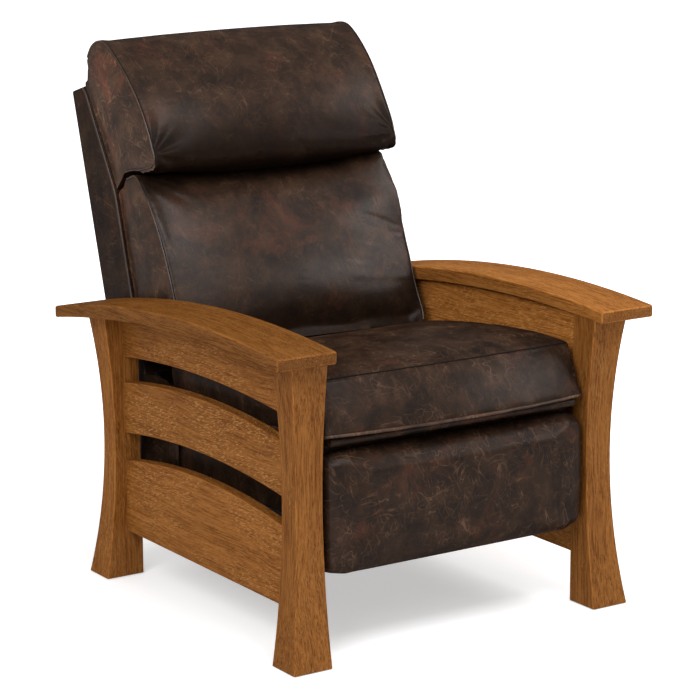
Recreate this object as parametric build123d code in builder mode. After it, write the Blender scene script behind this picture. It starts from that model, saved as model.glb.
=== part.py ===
from build123d import *
from math import atan2, cos, hypot, radians, sin, sqrt, tan
import os

# Reclining armchair with arched wooden sides, a pillow back and a folding footrest.
#
# Millimetres. X runs across the chair with the sitter's left at +X, Y runs from the arm fronts
# to the back, and Z is up from the floor. The origin is on the floor under the middle of the
# chair's overall box. Every "_y" below is a station on Y, worked out from the arm fronts.

os.makedirs("parts", exist_ok=True)

# Whole chair
seat_span = 645                  # between the inner faces of the posts
fit_gap = 0.3                    # between pieces that lie beside each other
cut_over = 5                     # how far a cut runs past what it cuts

# Arms
arm_width = 134
arm_inboard = 3.5                # how far an arm reaches past the post's inner face
arm_front_rise = 185             # above the deck's front edge
arm_rear_rise = 137
arm_end_thickness = 25
arm_top_rise = 35
arm_under_rise = 29
arm_rear_overhang = 50.5         # past the rear feet
arm_ease = 3

# Posts: straight inner faces, hollowed outer and end faces
foot_pad_height = 2
foot_pad_size = 46
foot_width = 89
waist_width = 63.5
crest_width = 87
foot_depth = 82.6
waist_depth = 51.6
crest_depth = 73.4
waist_height = 318
arm_front_overhang = 16          # past the front feet
rear_post_setback = 58.9         # behind the back's hinge
post_ease = 2.5
post_tenon_width = 34
post_tenon_depth = 26
post_tenon_height = 14

# Side rails between the posts
rail_thickness = 25.4
rail_inset = 13.1                # from the posts' inner faces to the rails' inner faces
rail_ease = 2
rail_tenon_length = 22
rail_tenon_thickness = 12
rail_tenon_shoulder = 12
panel_top_drop = 25              # below the seat boards' bottoms, as each height here at the posts
panel_height = 157
panel_top_rise = 31
lower_slot_height = 61
slat_bottom_rise = 25
slat_height = 111
slat_top_rise = 27
upper_slot_height = 56
top_rail_rise = 20.5

# Cross rails low under the seat
cross_rail_thickness = 25
cross_rail_height = 68
cross_rail_lift = 9              # above the lower panels' bottoms
cross_tenon_length = 12
middle_rail_setback = 217        # behind the front posts
rear_rail_setback = 22           # behind the rear posts' front faces
corner_block_leg = 42

# Seat box, pitched down to the rear
seat_pitch = 5.3                 # degrees
seat_front_setback = 40          # behind the foot fronts
deck_front_height = 450
board_front_setback = 40         # boards begin behind the cushion's front edge
board_length = 560
board_thickness = 19
board_drop = 165                 # of the boards' bottoms below the deck's front edge
front_rail_depth = 48
rear_rail_depth = 46
webbing_thickness = 2.5
webbing_width = 50
webbing_count = 5
deck_pad_thickness = 8
cover_thickness = 3
cover_drop = 188                 # of the covers' bottoms below the deck's front edge
border_height = 18

# Seat cushion: lengths along and above the deck
seat_cushion_side_gap = 11.5     # to the posts' inner faces
seat_cushion_rear_setback = 13   # ahead of the boards' rear ends
seat_cushion_overhang = 5
seat_cushion_front_swell = 35
seat_cushion_lean = 40
seat_cushion_lean_swell = 5
seat_cushion_side_height = 108
seat_cushion_seam_swell = 4
seat_cushion_rear_height = 95
seat_cushion_rear_sag = 3
seat_cushion_side_crown = 126
seat_cushion_crown = 147
seat_cushion_boxing_swell = 7
seat_crown_share = 0.48

# Seat slide
seat_travel = 60
track_wall = 2.5
track_height = 33
track_width = 26
track_drop = 55                  # of the tracks below the lower panels' ends
track_front_setback = 12         # behind the front posts
track_rear_setback = 74.3        # ahead of the rear posts
block_length = 60
block_clearance = 0.5
block_neck = 18
runner_thickness = 3

# Back: lengths up and out from its rear plane
back_lean = 16.15                # degrees from upright
back_side_gap = 14.5             # to the posts' inner faces
back_cover_length = 730
back_top_depth = 64
back_seat_depth = 128
back_taper_length = 241
back_wall = 6
back_ease = 5
back_ply = 19
back_rail_depth = 38
back_rail_height = 42
back_webbing_count = 4

# Back cushion and head pillow: each outline point is a share of the cushion's reach from the
# back's rear plane, a share of its height, then the shares of its crown that it moves by
back_cushion_side_gap = 16.5     # to the posts' inner faces
back_cushion_reach = 303
back_cushion_toe_gap = 4.83      # above the seat cushion's crown
back_cushion_crown = 28
back_cushion_shares = {
    "tuck": (0.587, 0.993, 0, 0),
    "rim": (0.680, 1, 0.1, 0),
    "rim_bend": (0.727, 0.988, 0.25, 0),
    "shoulder": (0.752, 0.955, 0.3, 0),
    "chest": (0.911, 0.676, 0.85, 0),
    "hip": (0.997, 0.290, 1, 0),
    "flare": (1.035, 0.130, 0.6, 0),
    "toe": (1.106, 0.005, 0.35, 0.35),
}
pillow_side_gap = 14.5
pillow_reach = 316
pillow_foot = 217
pillow_rise = 80
pillow_crown = 20
pillow_shares = {
    "tip": (0.304, 0.920, 0, 0),
    "top": (0.443, 1, 0.2, 0.2),
    "crest": (0.608, 0.947, 0.4, 0.2),
    "brow": (0.867, 0.555, 0.8, 0.2),
    "nose": (1, 0.103, 1, 0),
    "chin": (0.994, 0.033, 1, 0),
    "jaw": (0.953, 0, 1, 0),
    "tuck": (0.563, 0.020, 0, 0),
}

# Hinge plates and the recline link, which draws the seat forward as the back goes down
plate_thickness = 3
hinge_setback = 55               # behind the seat boards
hinge_under_deck = 64.24
hinge_reach = 156.24             # ahead of the back's rear plane
hinge_drop = 39.83               # below the back's covers, along the back
hinge_eye_radius = 16
hinge_plate_height = 40
hinge_plate_length = 110
bracket_thickness = 4
bracket_gap = 0.5
bracket_foot = 92                # height of the bracket's foot on the plywood
bracket_foot_depth = 92
recline_pin_rise = 84            # link pin above the hinge, on the back
recline_post_setback = 29        # link pin behind the rear posts' front faces
recline_post_rise = 78           # link pin above the hinge, on the post
recline_link_gap = 4             # from the back's cover to the link
post_flange_radius = 16

# Footrest linkage: angles are turned forward from straight down
pin_radius = 5
pin_head_radius = 9
pin_head_thickness = 2
eye_sides = 12
head_sides = 6
running_clearance = 0.05
open_pivot_clearance = 2.5
link_gap = 0.4
head_gap = 0.2
link_thickness = 4
link_half_width = 10
pivot_eye_radius = 12
lift_length = 200
reach_length = 200
lift_pivot_setback = 98          # behind the seat front
lift_pivot_drop = 78             # below the deck's front edge
lift_closed_angle = -35
reach_closed_angle = 128
guide_pivot_ahead = 17
guide_pivot_below = 44.5
guide_horn = 30
guide_horn_angle = -90           # from the reach link
brace_horn = 22.9
brace_horn_angle = -91.2         # from the lift link
footrest_horn = 35
footrest_horn_angle = -110
lift_tube_radius = 9
lift_tube_offset = 22
lift_tube_station = 120          # along the lift link from its knee
mount_length = 68
mount_height = 74
mount_lead = 34                  # of the lift pivot behind the mount's front
mount_drop = 60                  # of the mount's bottom below the lift pivot

# Footrest panel
footrest_side_gap = 14.5         # to the posts' inner faces
footrest_height = 250
footrest_top_drop = 22           # below the deck's front edge
footrest_depth = 62
footrest_gap = 8                 # to the seat boards
footrest_side_depth = 34
footrest_side_drop = 16
footrest_corner = 34
footrest_bulge = 3
footrest_board_thickness = 18
footrest_board_inset = 22
footrest_fullness_power = 6
bracket_foot_bottom = 52         # above the footrest's bottom
bracket_foot_height = 146
angle_width = 22

# The back leans about its hinge, and the chair's depth runs from the arm fronts to its rear corner
corner_shift = back_ease * (sin(radians(back_lean)) + cos(radians(back_lean)) - 1)
hinge_below_top = back_cover_length + hinge_drop
hinge_from_arms = (arm_front_overhang + seat_front_setback + board_front_setback + board_length
                   + hinge_setback)
corner_from_arms = (hinge_from_arms + hinge_reach * cos(radians(back_lean))
                    + hinge_below_top * sin(radians(back_lean)))
overall_depth = corner_from_arms - corner_shift

# Stations along Y
arm_front_y = -overall_depth / 2
foot_front_y = arm_front_y + arm_front_overhang
front_post_rear_y = foot_front_y + foot_depth
seat_front_y = foot_front_y + seat_front_setback
board_front_y = seat_front_y + board_front_setback
board_rear_y = board_front_y + board_length
hinge_y = board_rear_y + hinge_setback
back_rear_y = arm_front_y + corner_from_arms
rear_post_front_y = hinge_y + rear_post_setback
post_clear_span = rear_post_front_y - front_post_rear_y
side_middle_y = (front_post_rear_y + rear_post_front_y) / 2
arm_rear_y = rear_post_front_y + foot_depth + arm_rear_overhang

# Heights
board_bottom_height = deck_front_height - board_drop
cover_bottom_height = deck_front_height - cover_drop
panel_top_height = board_bottom_height - panel_top_drop
panel_bottom_height = panel_top_height - panel_height
slat_bottom_height = panel_top_height + lower_slot_height
slat_top_height = slat_bottom_height + slat_height
top_rail_end_height = slat_top_height + upper_slot_height
cross_rail_bottom = panel_bottom_height + cross_rail_lift
track_bottom_height = panel_top_height - track_drop
arm_front_height = deck_front_height + arm_front_rise
arm_rear_height = deck_front_height + arm_rear_rise
footrest_bottom_height = deck_front_height - footrest_top_drop - footrest_height

# Stations across X
post_inner = seat_span / 2
rail_inner = post_inner + rail_inset
rail_outer = rail_inner + rail_thickness
rail_middle = (rail_inner + rail_outer) / 2
arm_inner = post_inner - arm_inboard
back_half_width = post_inner - back_side_gap
back_inner_half = back_half_width - back_wall
ply_inner = back_inner_half - back_ply
bracket_inner = ply_inner - bracket_thickness
board_inner = bracket_inner - bracket_gap
board_outer_half = board_inner + board_thickness
deck_build = webbing_thickness + deck_pad_thickness


def write(name, piece):
    """Label a finished piece and write its file."""
    piece.part.label = name
    export_step(piece.part, f"parts/{name}.step")


def write_pair(name, piece):
    """Write a piece that stands on the sitter's left, and its mirror image."""
    write(name + "_left", piece)
    with BuildPart() as other_side:
        mirror(piece.part, about=Plane.YZ)
    write(name + "_right", other_side)


def arc_height(y, start, end, rise):
    """Height at y of the arc from start to end that rises above its chord."""
    half_chord = hypot(end[0] - start[0], end[1] - start[1]) / 2
    radius = (half_chord**2 + rise**2) / (2 * rise)
    tilt = atan2(end[1] - start[1], end[0] - start[0])
    centre_y = (start[0] + end[0]) / 2 + (radius - rise) * sin(tilt)
    centre_z = (start[1] + end[1]) / 2 - (radius - rise) * cos(tilt)
    return centre_z + sqrt(radius**2 - (y - centre_y) ** 2)


arm_under_front = (arm_front_y, arm_front_height - arm_end_thickness)
arm_under_rear = (arm_rear_y, arm_rear_height - arm_end_thickness)


def under_arm(y):
    """Height of the arm's underside at y."""
    return arc_height(y, arm_under_front, arm_under_rear, arm_under_rise)


def deck_height(y):
    """Height at y of the plane that the seat cushion rests on."""
    return deck_front_height - tan(radians(seat_pitch)) * (y - seat_front_y)


hinge = (hinge_y, deck_height(hinge_y) - hinge_under_deck)
back_height_at_top = (hinge[1] - hinge_reach * sin(radians(back_lean))
                      + hinge_below_top * cos(radians(back_lean)))


def rise_arc(start, end, rise):
    """Arc from start to end, bowed upwards by rise at its middle."""
    middle = (start[0] + end[0]) / 2
    return ThreePointArc(start, (middle, arc_height(middle, start, end, rise)), end)


# Arms: bent boards, thicker in the middle than at the ends
arm_top_front = (arm_front_y, arm_front_height)
arm_top_rear = (arm_rear_y, arm_rear_height)
post_tenon_x = post_inner + waist_width / 2
front_tenon_y = foot_front_y + (foot_depth - crest_depth + foot_depth) / 2
rear_tenon_y = rear_post_front_y + crest_depth / 2

with BuildPart() as arm:
    with BuildSketch(Plane.YZ.offset(arm_inner)):
        with BuildLine():
            rise_arc(arm_under_front, arm_under_rear, arm_under_rise)
            Line(arm_under_rear, arm_top_rear)
            rise_arc(arm_top_front, arm_top_rear, arm_top_rise)
            Line(arm_top_front, arm_under_front)
        make_face()
    extrude(amount=arm_width)
    chamfer(arm.edges(), length=arm_ease)
    for tenon_y in (front_tenon_y, rear_tenon_y):
        with BuildSketch(Plane.XY.offset(under_arm(tenon_y) - post_tenon_height)):
            with Locations((post_tenon_x, tenon_y)):
                Rectangle(post_tenon_width + fit_gap, post_tenon_depth + fit_gap)
        extrude(amount=2 * post_tenon_height + fit_gap, mode=Mode.SUBTRACT)
write_pair("arm", arm)


# Posts
rail_ends = {
    "top": (top_rail_end_height, under_arm(rear_post_front_y)),
    "slat": (slat_bottom_height, slat_top_height),
    "panel": (panel_bottom_height, panel_top_height),
}


def make_post(straight_y, outward, tenon_y):
    """A post whose straight face is at straight_y and whose hollow face looks outward."""
    def at(depth, height):
        return (straight_y + outward * depth, height)

    crest_y = straight_y + outward * crest_depth
    with BuildPart() as post:
        with BuildSketch(Plane.YZ.offset(post_inner)):
            with BuildLine():
                Line(at(0, foot_pad_height), at(foot_depth, foot_pad_height))
                ThreePointArc(at(foot_depth, foot_pad_height), at(waist_depth, waist_height),
                              (crest_y, under_arm(crest_y)))
                ThreePointArc((crest_y, under_arm(crest_y)),
                              ((crest_y + straight_y) / 2, under_arm((crest_y + straight_y) / 2)),
                              (straight_y, under_arm(straight_y)))
                Line((straight_y, under_arm(straight_y)), at(0, foot_pad_height))
            make_face()
        extrude(amount=foot_width + cut_over)
        crest_top = under_arm(tenon_y) + arm_end_thickness
        with BuildSketch(Plane.XZ.offset(-straight_y)):
            with BuildLine():
                Line((post_inner, foot_pad_height), (post_inner + foot_width, foot_pad_height))
                ThreePointArc((post_inner + foot_width, foot_pad_height),
                              (post_inner + waist_width, waist_height),
                              (post_inner + crest_width, crest_top))
                Line((post_inner + crest_width, crest_top), (post_inner, crest_top))
                Line((post_inner, crest_top), (post_inner, foot_pad_height))
            make_face()
        extrude(amount=foot_depth + cut_over, both=True, mode=Mode.INTERSECT)
        upright = post.edges().filter_by(lambda edge: edge.length > waist_height)
        chamfer(upright, length=post_ease)
        with BuildSketch(Plane.XY.offset(under_arm(tenon_y) - cut_over)):
            with Locations((post_tenon_x, tenon_y)):
                Rectangle(post_tenon_width, post_tenon_depth)
        extrude(amount=cut_over + post_tenon_height)
        for low, high in rail_ends.values():
            mortise_low = low + rail_tenon_shoulder - fit_gap
            mortise_high = high - rail_tenon_shoulder + fit_gap
            with BuildSketch(Plane.XZ.offset(-straight_y)):
                with Locations((rail_middle, (mortise_low + mortise_high) / 2)):
                    Rectangle(rail_tenon_thickness + fit_gap, mortise_high - mortise_low)
            extrude(amount=-outward * (rail_tenon_length + fit_gap), mode=Mode.SUBTRACT)
        if outward > 0:
            cross_middle = cross_rail_bottom + cross_rail_height / 2
            cross_y = straight_y + rear_rail_setback + cross_rail_thickness / 2
            with BuildSketch(Plane.YZ.offset(post_inner)):
                with Locations((cross_y, cross_middle)):
                    Rectangle(cross_rail_thickness - rail_tenon_shoulder + fit_gap,
                              cross_rail_height - 2 * rail_tenon_shoulder + fit_gap)
            extrude(amount=cross_tenon_length + fit_gap, mode=Mode.SUBTRACT)
    return post


write_pair("post_front", make_post(front_post_rear_y, -1, front_tenon_y))
write_pair("post_rear", make_post(rear_post_front_y, 1, rear_tenon_y))

# Felt pads under the feet
front_foot_y = foot_front_y + foot_depth / 2
rear_foot_y = rear_post_front_y + foot_depth / 2
foot_x = post_inner + foot_width / 2
with BuildPart() as foot_pads:
    with BuildSketch(Plane.XY):
        with Locations((foot_x, front_foot_y), (foot_x, rear_foot_y),
                       (-foot_x, front_foot_y), (-foot_x, rear_foot_y)):
            Rectangle(foot_pad_size, foot_pad_size)
    extrude(amount=foot_pad_height)
write("foot_pads", foot_pads)


# Side rails, each with a stub tenon at both ends
def make_side_rail(low, high, outline, arrises):
    """A rail between the posts, its lowest long arrises eased, with a stub tenon at each end."""
    with BuildPart() as rail:
        with BuildSketch(Plane.YZ.offset(rail_inner)):
            with BuildLine():
                outline()
            make_face()
        extrude(amount=rail_thickness)
        long_edges = rail.edges().filter_by(lambda edge: edge.length > post_clear_span - cut_over)
        chamfer(long_edges.sort_by(Axis.Z)[:arrises], length=rail_ease)
        for end_y, away in ((front_post_rear_y, -1), (rear_post_front_y, 1)):
            with BuildSketch(Plane.XZ.offset(-end_y)):
                with Locations((rail_middle, (low + high) / 2)):
                    Rectangle(rail_tenon_thickness, high - low - 2 * rail_tenon_shoulder)
            extrude(amount=-away * rail_tenon_length)
    return rail


def rail_edge(height, rise):
    """A rail's long edge between the posts, bowed upwards by rise."""
    rise_arc((front_post_rear_y, height), (rear_post_front_y, height), rise)


def rail_ends_at(front_low, front_high, rear_low, rear_high):
    """The two upright ends of a rail's outline."""
    Line((front_post_rear_y, front_low), (front_post_rear_y, front_high))
    Line((rear_post_front_y, rear_low), (rear_post_front_y, rear_high))


def top_rail_outline():
    """Arched lower edge, and an upper edge that follows the arm."""
    rail_edge(top_rail_end_height, top_rail_rise)
    ThreePointArc((front_post_rear_y, under_arm(front_post_rear_y)),
                  (side_middle_y, under_arm(side_middle_y)),
                  (rear_post_front_y, under_arm(rear_post_front_y)))
    rail_ends_at(top_rail_end_height, under_arm(front_post_rear_y),
                 top_rail_end_height, under_arm(rear_post_front_y))


def slat_outline():
    """Both long edges arched."""
    rail_edge(slat_bottom_height, slat_bottom_rise)
    rail_edge(slat_top_height, slat_top_rise)
    rail_ends_at(slat_bottom_height, slat_top_height, slat_bottom_height, slat_top_height)


def panel_outline():
    """A straight lower edge and an arched upper edge."""
    Line((front_post_rear_y, panel_bottom_height), (rear_post_front_y, panel_bottom_height))
    rail_edge(panel_top_height, panel_top_rise)
    rail_ends_at(panel_bottom_height, panel_top_height, panel_bottom_height, panel_top_height)


write_pair("top_rail", make_side_rail(*rail_ends["top"], top_rail_outline, 2))
write_pair("side_slat", make_side_rail(*rail_ends["slat"], slat_outline, 4))

cross_rail_middle_height = cross_rail_bottom + cross_rail_height / 2
middle_rail_y = front_post_rear_y + middle_rail_setback + cross_rail_thickness / 2
rear_rail_y = rear_post_front_y + rear_rail_setback + cross_rail_thickness / 2
cross_tenon_thickness = cross_rail_thickness - rail_tenon_shoulder
cross_tenon_height = cross_rail_height - 2 * rail_tenon_shoulder
plain_panel = make_side_rail(*rail_ends["panel"], panel_outline, 4)
with BuildPart() as lower_panel:
    add(plain_panel.part)
    with BuildSketch(Plane.YZ.offset(rail_inner)):
        with Locations((middle_rail_y, cross_rail_middle_height)):
            Rectangle(cross_tenon_thickness + fit_gap, cross_tenon_height + fit_gap)
    extrude(amount=cross_tenon_length + fit_gap, mode=Mode.SUBTRACT)
write_pair("lower_panel", lower_panel)


# Cross rails tie the two sides together
def make_cross_rail(centre_y, half_length):
    """A rail across the chair with a stub tenon at each end."""
    with BuildPart() as cross_rail:
        with BuildSketch(Plane.YZ):
            with Locations((centre_y, cross_rail_middle_height)):
                Rectangle(cross_rail_thickness, cross_rail_height)
        extrude(amount=half_length, both=True)
        with BuildSketch(Plane.YZ):
            with Locations((centre_y, cross_rail_middle_height)):
                Rectangle(cross_tenon_thickness, cross_tenon_height)
        extrude(amount=half_length + cross_tenon_length, both=True)
    return cross_rail


write("middle_cross_rail", make_cross_rail(middle_rail_y, rail_inner))
write("rear_cross_rail", make_cross_rail(rear_rail_y, post_inner))

with BuildPart() as corner_blocks:
    for facing in (-1, 1):
        face_y = middle_rail_y + facing * cross_rail_thickness / 2
        with BuildSketch(Plane.XY.offset(cross_rail_bottom + rail_tenon_shoulder)):
            with BuildLine():
                Polyline((rail_inner, face_y), (rail_inner, face_y + facing * corner_block_leg),
                         (rail_inner - corner_block_leg, face_y), (rail_inner, face_y))
            make_face()
        extrude(amount=cross_tenon_height)
    mirror(corner_blocks.part, about=Plane.YZ)
write("corner_blocks", corner_blocks)

# Steel tracks on the lower panels, open towards the middle
track_middle_height = track_bottom_height + track_height / 2
track_front_y = front_post_rear_y + track_front_setback
with BuildPart() as tracks:
    with BuildSketch(Plane.XZ.offset(-track_front_y)):
        with Locations((rail_inner - track_width / 2, track_middle_height)):
            Rectangle(track_width, track_height)
        with Locations((rail_inner - track_wall - track_width / 2, track_middle_height)):
            Rectangle(track_width, track_height - 2 * track_wall, mode=Mode.SUBTRACT)
    extrude(amount=-(post_clear_span - track_front_setback - track_rear_setback))
    mirror(tracks.part, about=Plane.YZ)
write("tracks", tracks)


# Seat box
def board_top(y):
    """Height of the seat boards' top edges at y."""
    return deck_height(y) - deck_build / cos(radians(seat_pitch))


with BuildPart() as seat_side:
    with BuildSketch(Plane.YZ.offset(board_inner)):
        with BuildLine():
            Polyline((board_front_y, board_bottom_height), (board_rear_y, board_bottom_height),
                     (board_rear_y, board_top(board_rear_y)),
                     (board_front_y, board_top(board_front_y)),
                     (board_front_y, board_bottom_height))
        make_face()
    extrude(amount=board_thickness)
write_pair("seat_side", seat_side)


def make_seat_rail(front_y, depth):
    """A rail between the seat boards, its top on the boards' slope."""
    rear_y = front_y + board_thickness
    with BuildPart() as seat_rail:
        with BuildSketch(Plane.YZ):
            with BuildLine():
                Polyline((front_y, board_top(front_y) - depth), (rear_y, board_top(front_y) - depth),
                         (rear_y, board_top(rear_y)), (front_y, board_top(front_y)),
                         (front_y, board_top(front_y) - depth))
            make_face()
        extrude(amount=board_inner, both=True)
    return seat_rail


write("seat_front_rail", make_seat_rail(board_front_y, front_rail_depth))
write("seat_rear_rail", make_seat_rail(board_rear_y - board_thickness, rear_rail_depth))


def deck_plane(x=0):
    """Plane across the chair in which X runs back along the deck and Y stands up from it."""
    pitch = radians(seat_pitch)
    return Plane(origin=(x, seat_front_y, deck_front_height),
                 x_dir=(0, cos(pitch), -sin(pitch)), z_dir=(1, 0, 0))


def along_deck(y):
    """Distance along the deck from its front edge to the station y."""
    return (y - seat_front_y) / cos(radians(seat_pitch))


deck_start = along_deck(board_front_y)
deck_end = along_deck(board_rear_y)
with BuildPart() as seat_webbing:
    for place in range(webbing_count):
        strap_x = (place - (webbing_count - 1) / 2) * 2 * board_inner / webbing_count
        with BuildSketch(deck_plane(strap_x)):
            with Locations(((deck_start + deck_end) / 2, -deck_pad_thickness - webbing_thickness / 2)):
                Rectangle(deck_end - deck_start, webbing_thickness)
        extrude(amount=webbing_width / 2, both=True)
write("seat_webbing", seat_webbing)

with BuildPart() as seat_deck:
    with BuildSketch(deck_plane()):
        with Locations(((deck_start + deck_end) / 2, -deck_pad_thickness / 2)):
            Rectangle(deck_end - deck_start, deck_pad_thickness)
    extrude(amount=board_outer_half, both=True)
write("seat_deck", seat_deck)

# Leather over the seat box: two sides and a padded border under the cushion's front
cover_front_y = board_front_y - cover_thickness
cover_rear_y = board_rear_y + cover_thickness
with BuildPart() as seat_cover:
    with BuildSketch(Plane.YZ.offset(board_outer_half)):
        with BuildLine():
            Polyline((cover_front_y, cover_bottom_height), (cover_rear_y, cover_bottom_height),
                     (cover_rear_y, board_top(cover_rear_y)),
                     (cover_front_y, board_top(cover_front_y)),
                     (cover_front_y, cover_bottom_height))
        make_face()
    extrude(amount=cover_thickness)
write_pair("seat_cover", seat_cover)

with BuildPart() as seat_border:
    with BuildSketch(deck_plane()):
        with BuildLine():
            nose_front = border_height / 2
            Line((deck_start, -fit_gap), (nose_front, -fit_gap))
            ThreePointArc((nose_front, -fit_gap), (0, -border_height / 2),
                          (nose_front, -border_height))
            Line((nose_front, -border_height), (deck_start, -border_height))
            Line((deck_start, -border_height), (deck_start, -fit_gap))
        make_face()
    extrude(amount=board_outer_half, both=True)
write("seat_border", seat_border)


# Cushions are lofted across X through sections that swell towards the middle
station_shares = (-1, -0.93, -0.78, -0.5, 0, 0.5, 0.78, 0.93, 1)
fullness_power = 2.4


def fullness(share):
    """How full a cushion is at a share of its half width: 1 in the middle, 0 at its sides."""
    return 1 - abs(share) ** fullness_power


def loft_cushion(half_width, plane_at, outline):
    """A cushion through its section outlines, which are drawn for their fullness."""
    with BuildPart() as cushion:
        for share in station_shares:
            with BuildSketch(plane_at(share * half_width)):
                with BuildLine():
                    outline(fullness(share))
                make_face()
        loft(ruled=True)
    return cushion


def seat_cushion_outline(full):
    """Side view of the seat cushion: a leaning front, a crowned top and a flat base."""
    base_front = -seat_cushion_overhang - seat_cushion_front_swell * full
    seam = base_front + seat_cushion_lean + seat_cushion_lean_swell * full
    seam_height = seat_cushion_side_height + seat_cushion_seam_swell * full
    crown = seat_cushion_side_crown + (seat_cushion_crown - seat_cushion_side_crown) * full
    rear = board_front_setback + board_length - seat_cushion_rear_setback
    rear_height = seat_cushion_rear_height - seat_cushion_rear_sag * full
    swell = (base_front + seam) / 2 - seat_cushion_boxing_swell
    Line((rear, fit_gap), (base_front, fit_gap))
    ThreePointArc((base_front, fit_gap), (swell, seam_height / 2), (seam, seam_height))
    ThreePointArc((seam, seam_height), (rear * seat_crown_share, crown), (rear, rear_height))
    Line((rear, rear_height), (rear, fit_gap))


seat_cushion = loft_cushion(post_inner - seat_cushion_side_gap, deck_plane, seat_cushion_outline)
write("seat_cushion", seat_cushion)

# Runners under the seat boards and the blocks that slide in the tracks
runner_top = board_bottom_height
runner_outer = board_outer_half
with BuildPart() as runners:
    with BuildSketch(Plane.XZ.offset(-board_front_y)):
        with Locations(((board_inner + runner_outer) / 2, runner_top - runner_thickness / 2)):
            Rectangle(board_thickness, runner_thickness)
        with Locations((runner_outer - runner_thickness / 2, (runner_top + track_bottom_height) / 2)):
            Rectangle(runner_thickness, runner_top - track_bottom_height)
    extrude(amount=-board_length)
    mirror(runners.part, about=Plane.YZ)
write("runners", runners)

block_height = track_height - 2 * (track_wall + block_clearance)
block_outer = rail_inner - track_wall - block_clearance
block_inner = rail_inner - track_width + block_clearance
front_block_y = track_front_y + seat_travel + block_length
rear_block_y = board_rear_y - 2 * block_length
with BuildPart() as slide_blocks:
    for block_y in (front_block_y, rear_block_y):
        with BuildSketch(Plane.YZ.offset(block_inner)):
            with Locations((block_y, track_middle_height)):
                Rectangle(block_length, block_height)
        extrude(amount=block_outer - block_inner)
        with BuildSketch(Plane.YZ.offset(runner_outer)):
            with Locations((block_y, track_middle_height)):
                Rectangle(block_neck, block_neck)
        extrude(amount=block_inner - runner_outer)
    mirror(slide_blocks.part, about=Plane.YZ)
write("slide_blocks", slide_blocks)


# Back frame and covers, drawn in the back's own leaning plane
def back_plane(x=0):
    """Plane across the chair in which X runs forward from the back and Y runs up it."""
    lean = radians(back_lean)
    return Plane(origin=(x, back_rear_y, back_height_at_top),
                 x_dir=(0, -cos(lean), sin(lean)), z_dir=(-1, 0, 0))


def in_back(y, z):
    """Reach and height in the back's plane of the point at y and z."""
    lean = radians(back_lean)
    away, up = y - back_rear_y, z - back_height_at_top
    return (-away * cos(lean) + up * sin(lean), away * sin(lean) + up * cos(lean))


back_slope = (back_seat_depth - back_top_depth) / back_taper_length


def back_profile(inset):
    """Outline of the back's side, held off its rear and top by inset."""
    Polyline((inset, -inset), (back_top_depth + back_slope * inset, -inset),
             (back_seat_depth, -back_taper_length), (back_seat_depth, -back_cover_length),
             (inset, -back_cover_length), (inset, -inset))


with BuildPart() as back_ply_side:
    with BuildSketch(back_plane(back_inner_half)):
        with BuildLine():
            back_profile(back_wall)
        make_face()
    extrude(amount=back_ply)
write_pair("back_ply", back_ply_side)

with BuildPart() as back_cover:
    with BuildSketch(back_plane(back_half_width)):
        with BuildLine():
            back_profile(0)
        make_face()
    extrude(amount=back_wall)
    fillet(back_cover.edges().filter_by(Axis.X).sort_by(Axis.Y)[-1], radius=back_ease)
    outer_face = back_cover.faces().sort_by(Axis.X)[-1]
    fillet(outer_face.edges(), radius=back_wall / 2)
write_pair("back_cover", back_cover)

with BuildPart() as rear_cover:
    with BuildSketch(back_plane()):
        with Locations((back_wall / 2, -back_cover_length / 2)):
            Rectangle(back_wall, back_cover_length)
    extrude(amount=back_inner_half, both=True)
    fillet(rear_cover.edges().filter_by(Axis.X).sort_by(Axis.Y)[-1], radius=back_ease)
write("back_cover_rear", rear_cover)

with BuildPart() as top_cover:
    with BuildSketch(back_plane()):
        with BuildLine():
            Polyline((back_wall, -back_wall), (back_top_depth + back_slope * back_wall, -back_wall),
                     (back_top_depth, 0), (back_wall, 0), (back_wall, -back_wall))
        make_face()
    extrude(amount=back_inner_half, both=True)
write("back_cover_top", top_cover)


def make_back_rail(reach, top):
    """A rail between the plywood sides, its front face at reach and its top at top."""
    with BuildPart() as back_rail:
        with BuildSketch(back_plane()):
            with Locations((reach - back_rail_depth / 2, top - back_rail_height / 2)):
                Rectangle(back_rail_depth, back_rail_height)
        extrude(amount=ply_inner, both=True)
    return back_rail


seat_strap = back_seat_depth - webbing_thickness
head_strap = back_top_depth - webbing_thickness
bottom_rail_top = -back_cover_length + bracket_foot + back_rail_height + fit_gap
write("back_top_rail", make_back_rail(head_strap, -back_wall))
write("back_middle_rail", make_back_rail(seat_strap, -back_taper_length))
write("back_bottom_rail", make_back_rail(seat_strap, bottom_rail_top))

strap_bend = -back_wall - back_rail_height
strap_end = bottom_rail_top - back_rail_height
with BuildPart() as back_webbing:
    for place in range(back_webbing_count):
        strap_x = (place - (back_webbing_count - 1) / 2) * 2 * ply_inner / back_webbing_count
        with BuildSketch(back_plane(strap_x + webbing_width / 2)):
            with BuildLine():
                Polyline((head_strap, -back_wall), (head_strap, strap_bend),
                         (seat_strap, -back_taper_length), (seat_strap, strap_end),
                         (back_seat_depth, strap_end), (back_seat_depth, -back_taper_length),
                         (back_top_depth, strap_bend), (back_top_depth, -back_wall),
                         (head_strap, -back_wall))
            make_face()
        extrude(amount=webbing_width)
write("back_webbing", back_webbing)


def outline_points(shares, reach, foot, height, swell):
    """Points of a cushion's outline from its table of shares, moved out by its swell."""
    return {
        name: (reach * along + swell * out, -foot + height * up + swell * rise)
        for name, (along, up, out, rise) in shares.items()
    }


back_cushion_foot = hinge_below_top - seat_cushion_crown - back_cushion_toe_gap
cushion_rear = back_seat_depth + fit_gap
pillow_rear_top = (back_top_depth + fit_gap, 0)
pillow_rear_bottom = (cushion_rear, -back_taper_length)


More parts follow.
